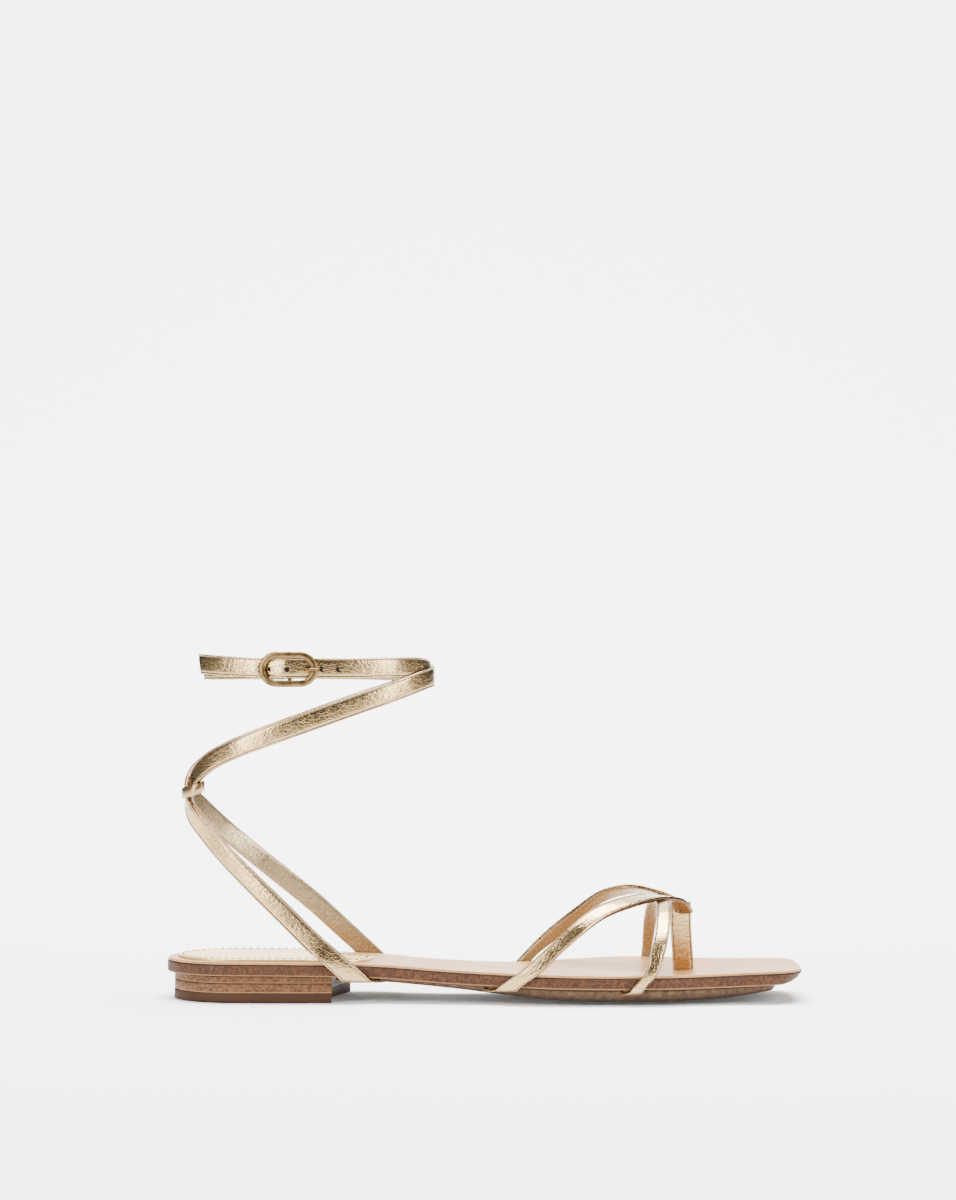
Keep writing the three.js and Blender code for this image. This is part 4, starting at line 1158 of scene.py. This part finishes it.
forefoot_shapes = [
    strap(LATERAL_FOREFOOT, FOOT_WIDTH), strap(MEDIAL_FOREFOOT, FOOT_WIDTH),
    strap(BAND, BAND_WIDTH), strap(POST, POST_WIDTH),
]
piece("forefoot_leather", forefoot_shapes, foil, "forefoot_straps")
piece("toe_post_stitches", post_stitches(), thread_look, None)
ankle_shapes = [strap(LATERAL_ANKLE, ANKLE_WIDTH, TAIL_SLANT), strap(MEDIAL_ANKLE, ANKLE_WIDTH), eye()]
piece("ankle_leather", ankle_shapes, foil, "ankle_straps")
holes = [strap_hole(HOLE_REACH + k * HOLE_PITCH) for k in (-2, -1, 1, 2)]
piece("strap_holes", holes, hole_shade_look, None, 30)
piece("keeper_leather", [keeper()], keeper_look, "keeper_loop")
piece("buckle_ring", buckle_frame(), metal_look, "buckle_frame")
piece("buckle_tongue", buckle_prong(), metal_look, "buckle_prong")


# The place where it stands, in metres: one seamless pale sweep, softboxes and a camera.
SWEEP_START = 1.2
SWEEP_RADIUS = 0.8
SWEEP_STEPS = 16
BACKDROP_SIDES = (-3.0, 3.2)
BACKDROP_FRONT = -3.5
BACKDROP_HEIGHT = 3.2
MIDDLE = (0.09, 0.0, 0.05)
FLOOR_GLOW = 0.04
BACKDROP_GLOW = 3.9
DARK_GLOW = 0.02
FRONT_FADE = (-0.8, -0.58)
SIDE_FADE = (0.5, 0.8)
GLOW_FADE = (0.1, 1.5)
SOFTBOXES = (
    ("top box", (0.1, 0.2, 1.3), (1.2, 0.9), 115),
    ("left box", (-1.05, -1.05, 0.62), (0.42, 1.3), 38),
    ("right box", (1.25, -1.05, 0.62), (0.42, 1.3), 38),
)


def paper_look():
    """Pale paper that glows towards the back and fades to dark grey in front and at the sides."""
    look = Look("backdrop paper", Roughness=1.0, Specular_IOR_Level=0.0)
    place = look.space("Object", (1, 1, 1))
    depth = look.axis(place, "Y")
    aside = look.calc("ABSOLUTE", look.calc("SUBTRACT", look.axis(place, "X"), MIDDLE[0]))
    lit = look.calc("MULTIPLY", look.level(aside, *SIDE_FADE, 1.0, 0.0), look.level(depth, *FRONT_FADE))
    tone = look.noise(place, 1.2, 1.0, 0.4)
    paper = look.mix(look.level(tone, 0.2, 0.8), [0.86, 0.86, 0.85, 1], [0.87, 0.87, 0.86, 1])
    behind = look.level(depth, *GLOW_FADE, 0.0, BACKDROP_GLOW - FLOOR_GLOW)
    glow = look.calc("MULTIPLY", lit, look.calc("ADD", behind, FLOOR_GLOW))
    look.shader.inputs["Emission Color"].default_value = [1.0, 1.0, 0.985, 1]
    look.feed(look.shader.inputs["Emission Strength"], look.calc("ADD", glow, DARK_GLOW))
    return look.finish(look.mix(lit, [0.06, 0.06, 0.06, 1], paper))


def sweep_backdrop():
    profile = [(y, 0.0) for y in (BACKDROP_FRONT, -1.5, -0.5, 0.0, 0.6, SWEEP_START)]
    for k in range(1, SWEEP_STEPS + 1):
        turn = math.pi / 2 * k / SWEEP_STEPS
        profile.append((SWEEP_START + SWEEP_RADIUS * math.sin(turn), SWEEP_RADIUS * (1 - math.cos(turn))))
    profile += [(SWEEP_START + SWEEP_RADIUS, z) for z in (1.4, BACKDROP_HEIGHT)]
    corners = [(x, y, z) for x in BACKDROP_SIDES for y, z in profile]
    count = len(profile)
    mesh = bpy.data.meshes.new("backdrop")
    mesh.from_pydata(corners, [], [[k, k + 1, count + k + 1, count + k] for k in range(count - 1)])
    mesh.shade_smooth()
    mesh.materials.append(paper_look())
    made = bpy.data.objects.new("backdrop", mesh)
    bpy.context.scene.collection.objects.link(made)


def softbox(name, place, size, power):
    light = bpy.data.lights.new(name, "AREA")
    light.shape = "RECTANGLE"
    light.size, light.size_y = size
    light.energy = power
    made = bpy.data.objects.new(name, light)
    made.location = place
    made.rotation_euler = (Vector(MIDDLE) - Vector(place)).to_track_quat("-Z", "Y").to_euler()
    bpy.context.scene.collection.objects.link(made)


def studio_air():
    """Dim surroundings, darkest behind the camera."""
    world = bpy.data.worlds.new("studio")
    bpy.context.scene.world = world
    world.use_nodes = True
    nodes, links = world.node_tree.nodes, world.node_tree.links
    direction = nodes.new("ShaderNodeTexCoord")
    split = nodes.new("ShaderNodeSeparateXYZ")
    ramp = nodes.new("ShaderNodeMapRange")
    links.new(direction.outputs["Generated"], split.inputs[0])
    links.new(split.outputs["Y"], ramp.inputs["Value"])
    for key, value in (("From Min", -1.0), ("From Max", -0.1), ("To Min", 0.06), ("To Max", 0.22)):
        ramp.inputs[key].default_value = value
    links.new(ramp.outputs["Result"], nodes["Background"].inputs["Strength"])
    nodes["Background"].inputs["Color"].default_value = (1.0, 0.99, 0.97, 1)


def photo_camera():
    data = bpy.data.cameras.new("camera")
    data.lens = 112.05
    data.sensor_width = 36.0
    data.sensor_fit = "AUTO"
    data.shift_y = 0.003
    made = bpy.data.objects.new("camera", data)
    made.location = (0.08945, -1.5, 0.1578)
    made.rotation_euler = (math.pi / 2, 0, 0)
    bpy.context.scene.collection.objects.link(made)
    bpy.context.scene.camera = made


sweep_backdrop()
for name, place, size, power in SOFTBOXES:
    softbox(name, place, size, power)
studio_air()
photo_camera()
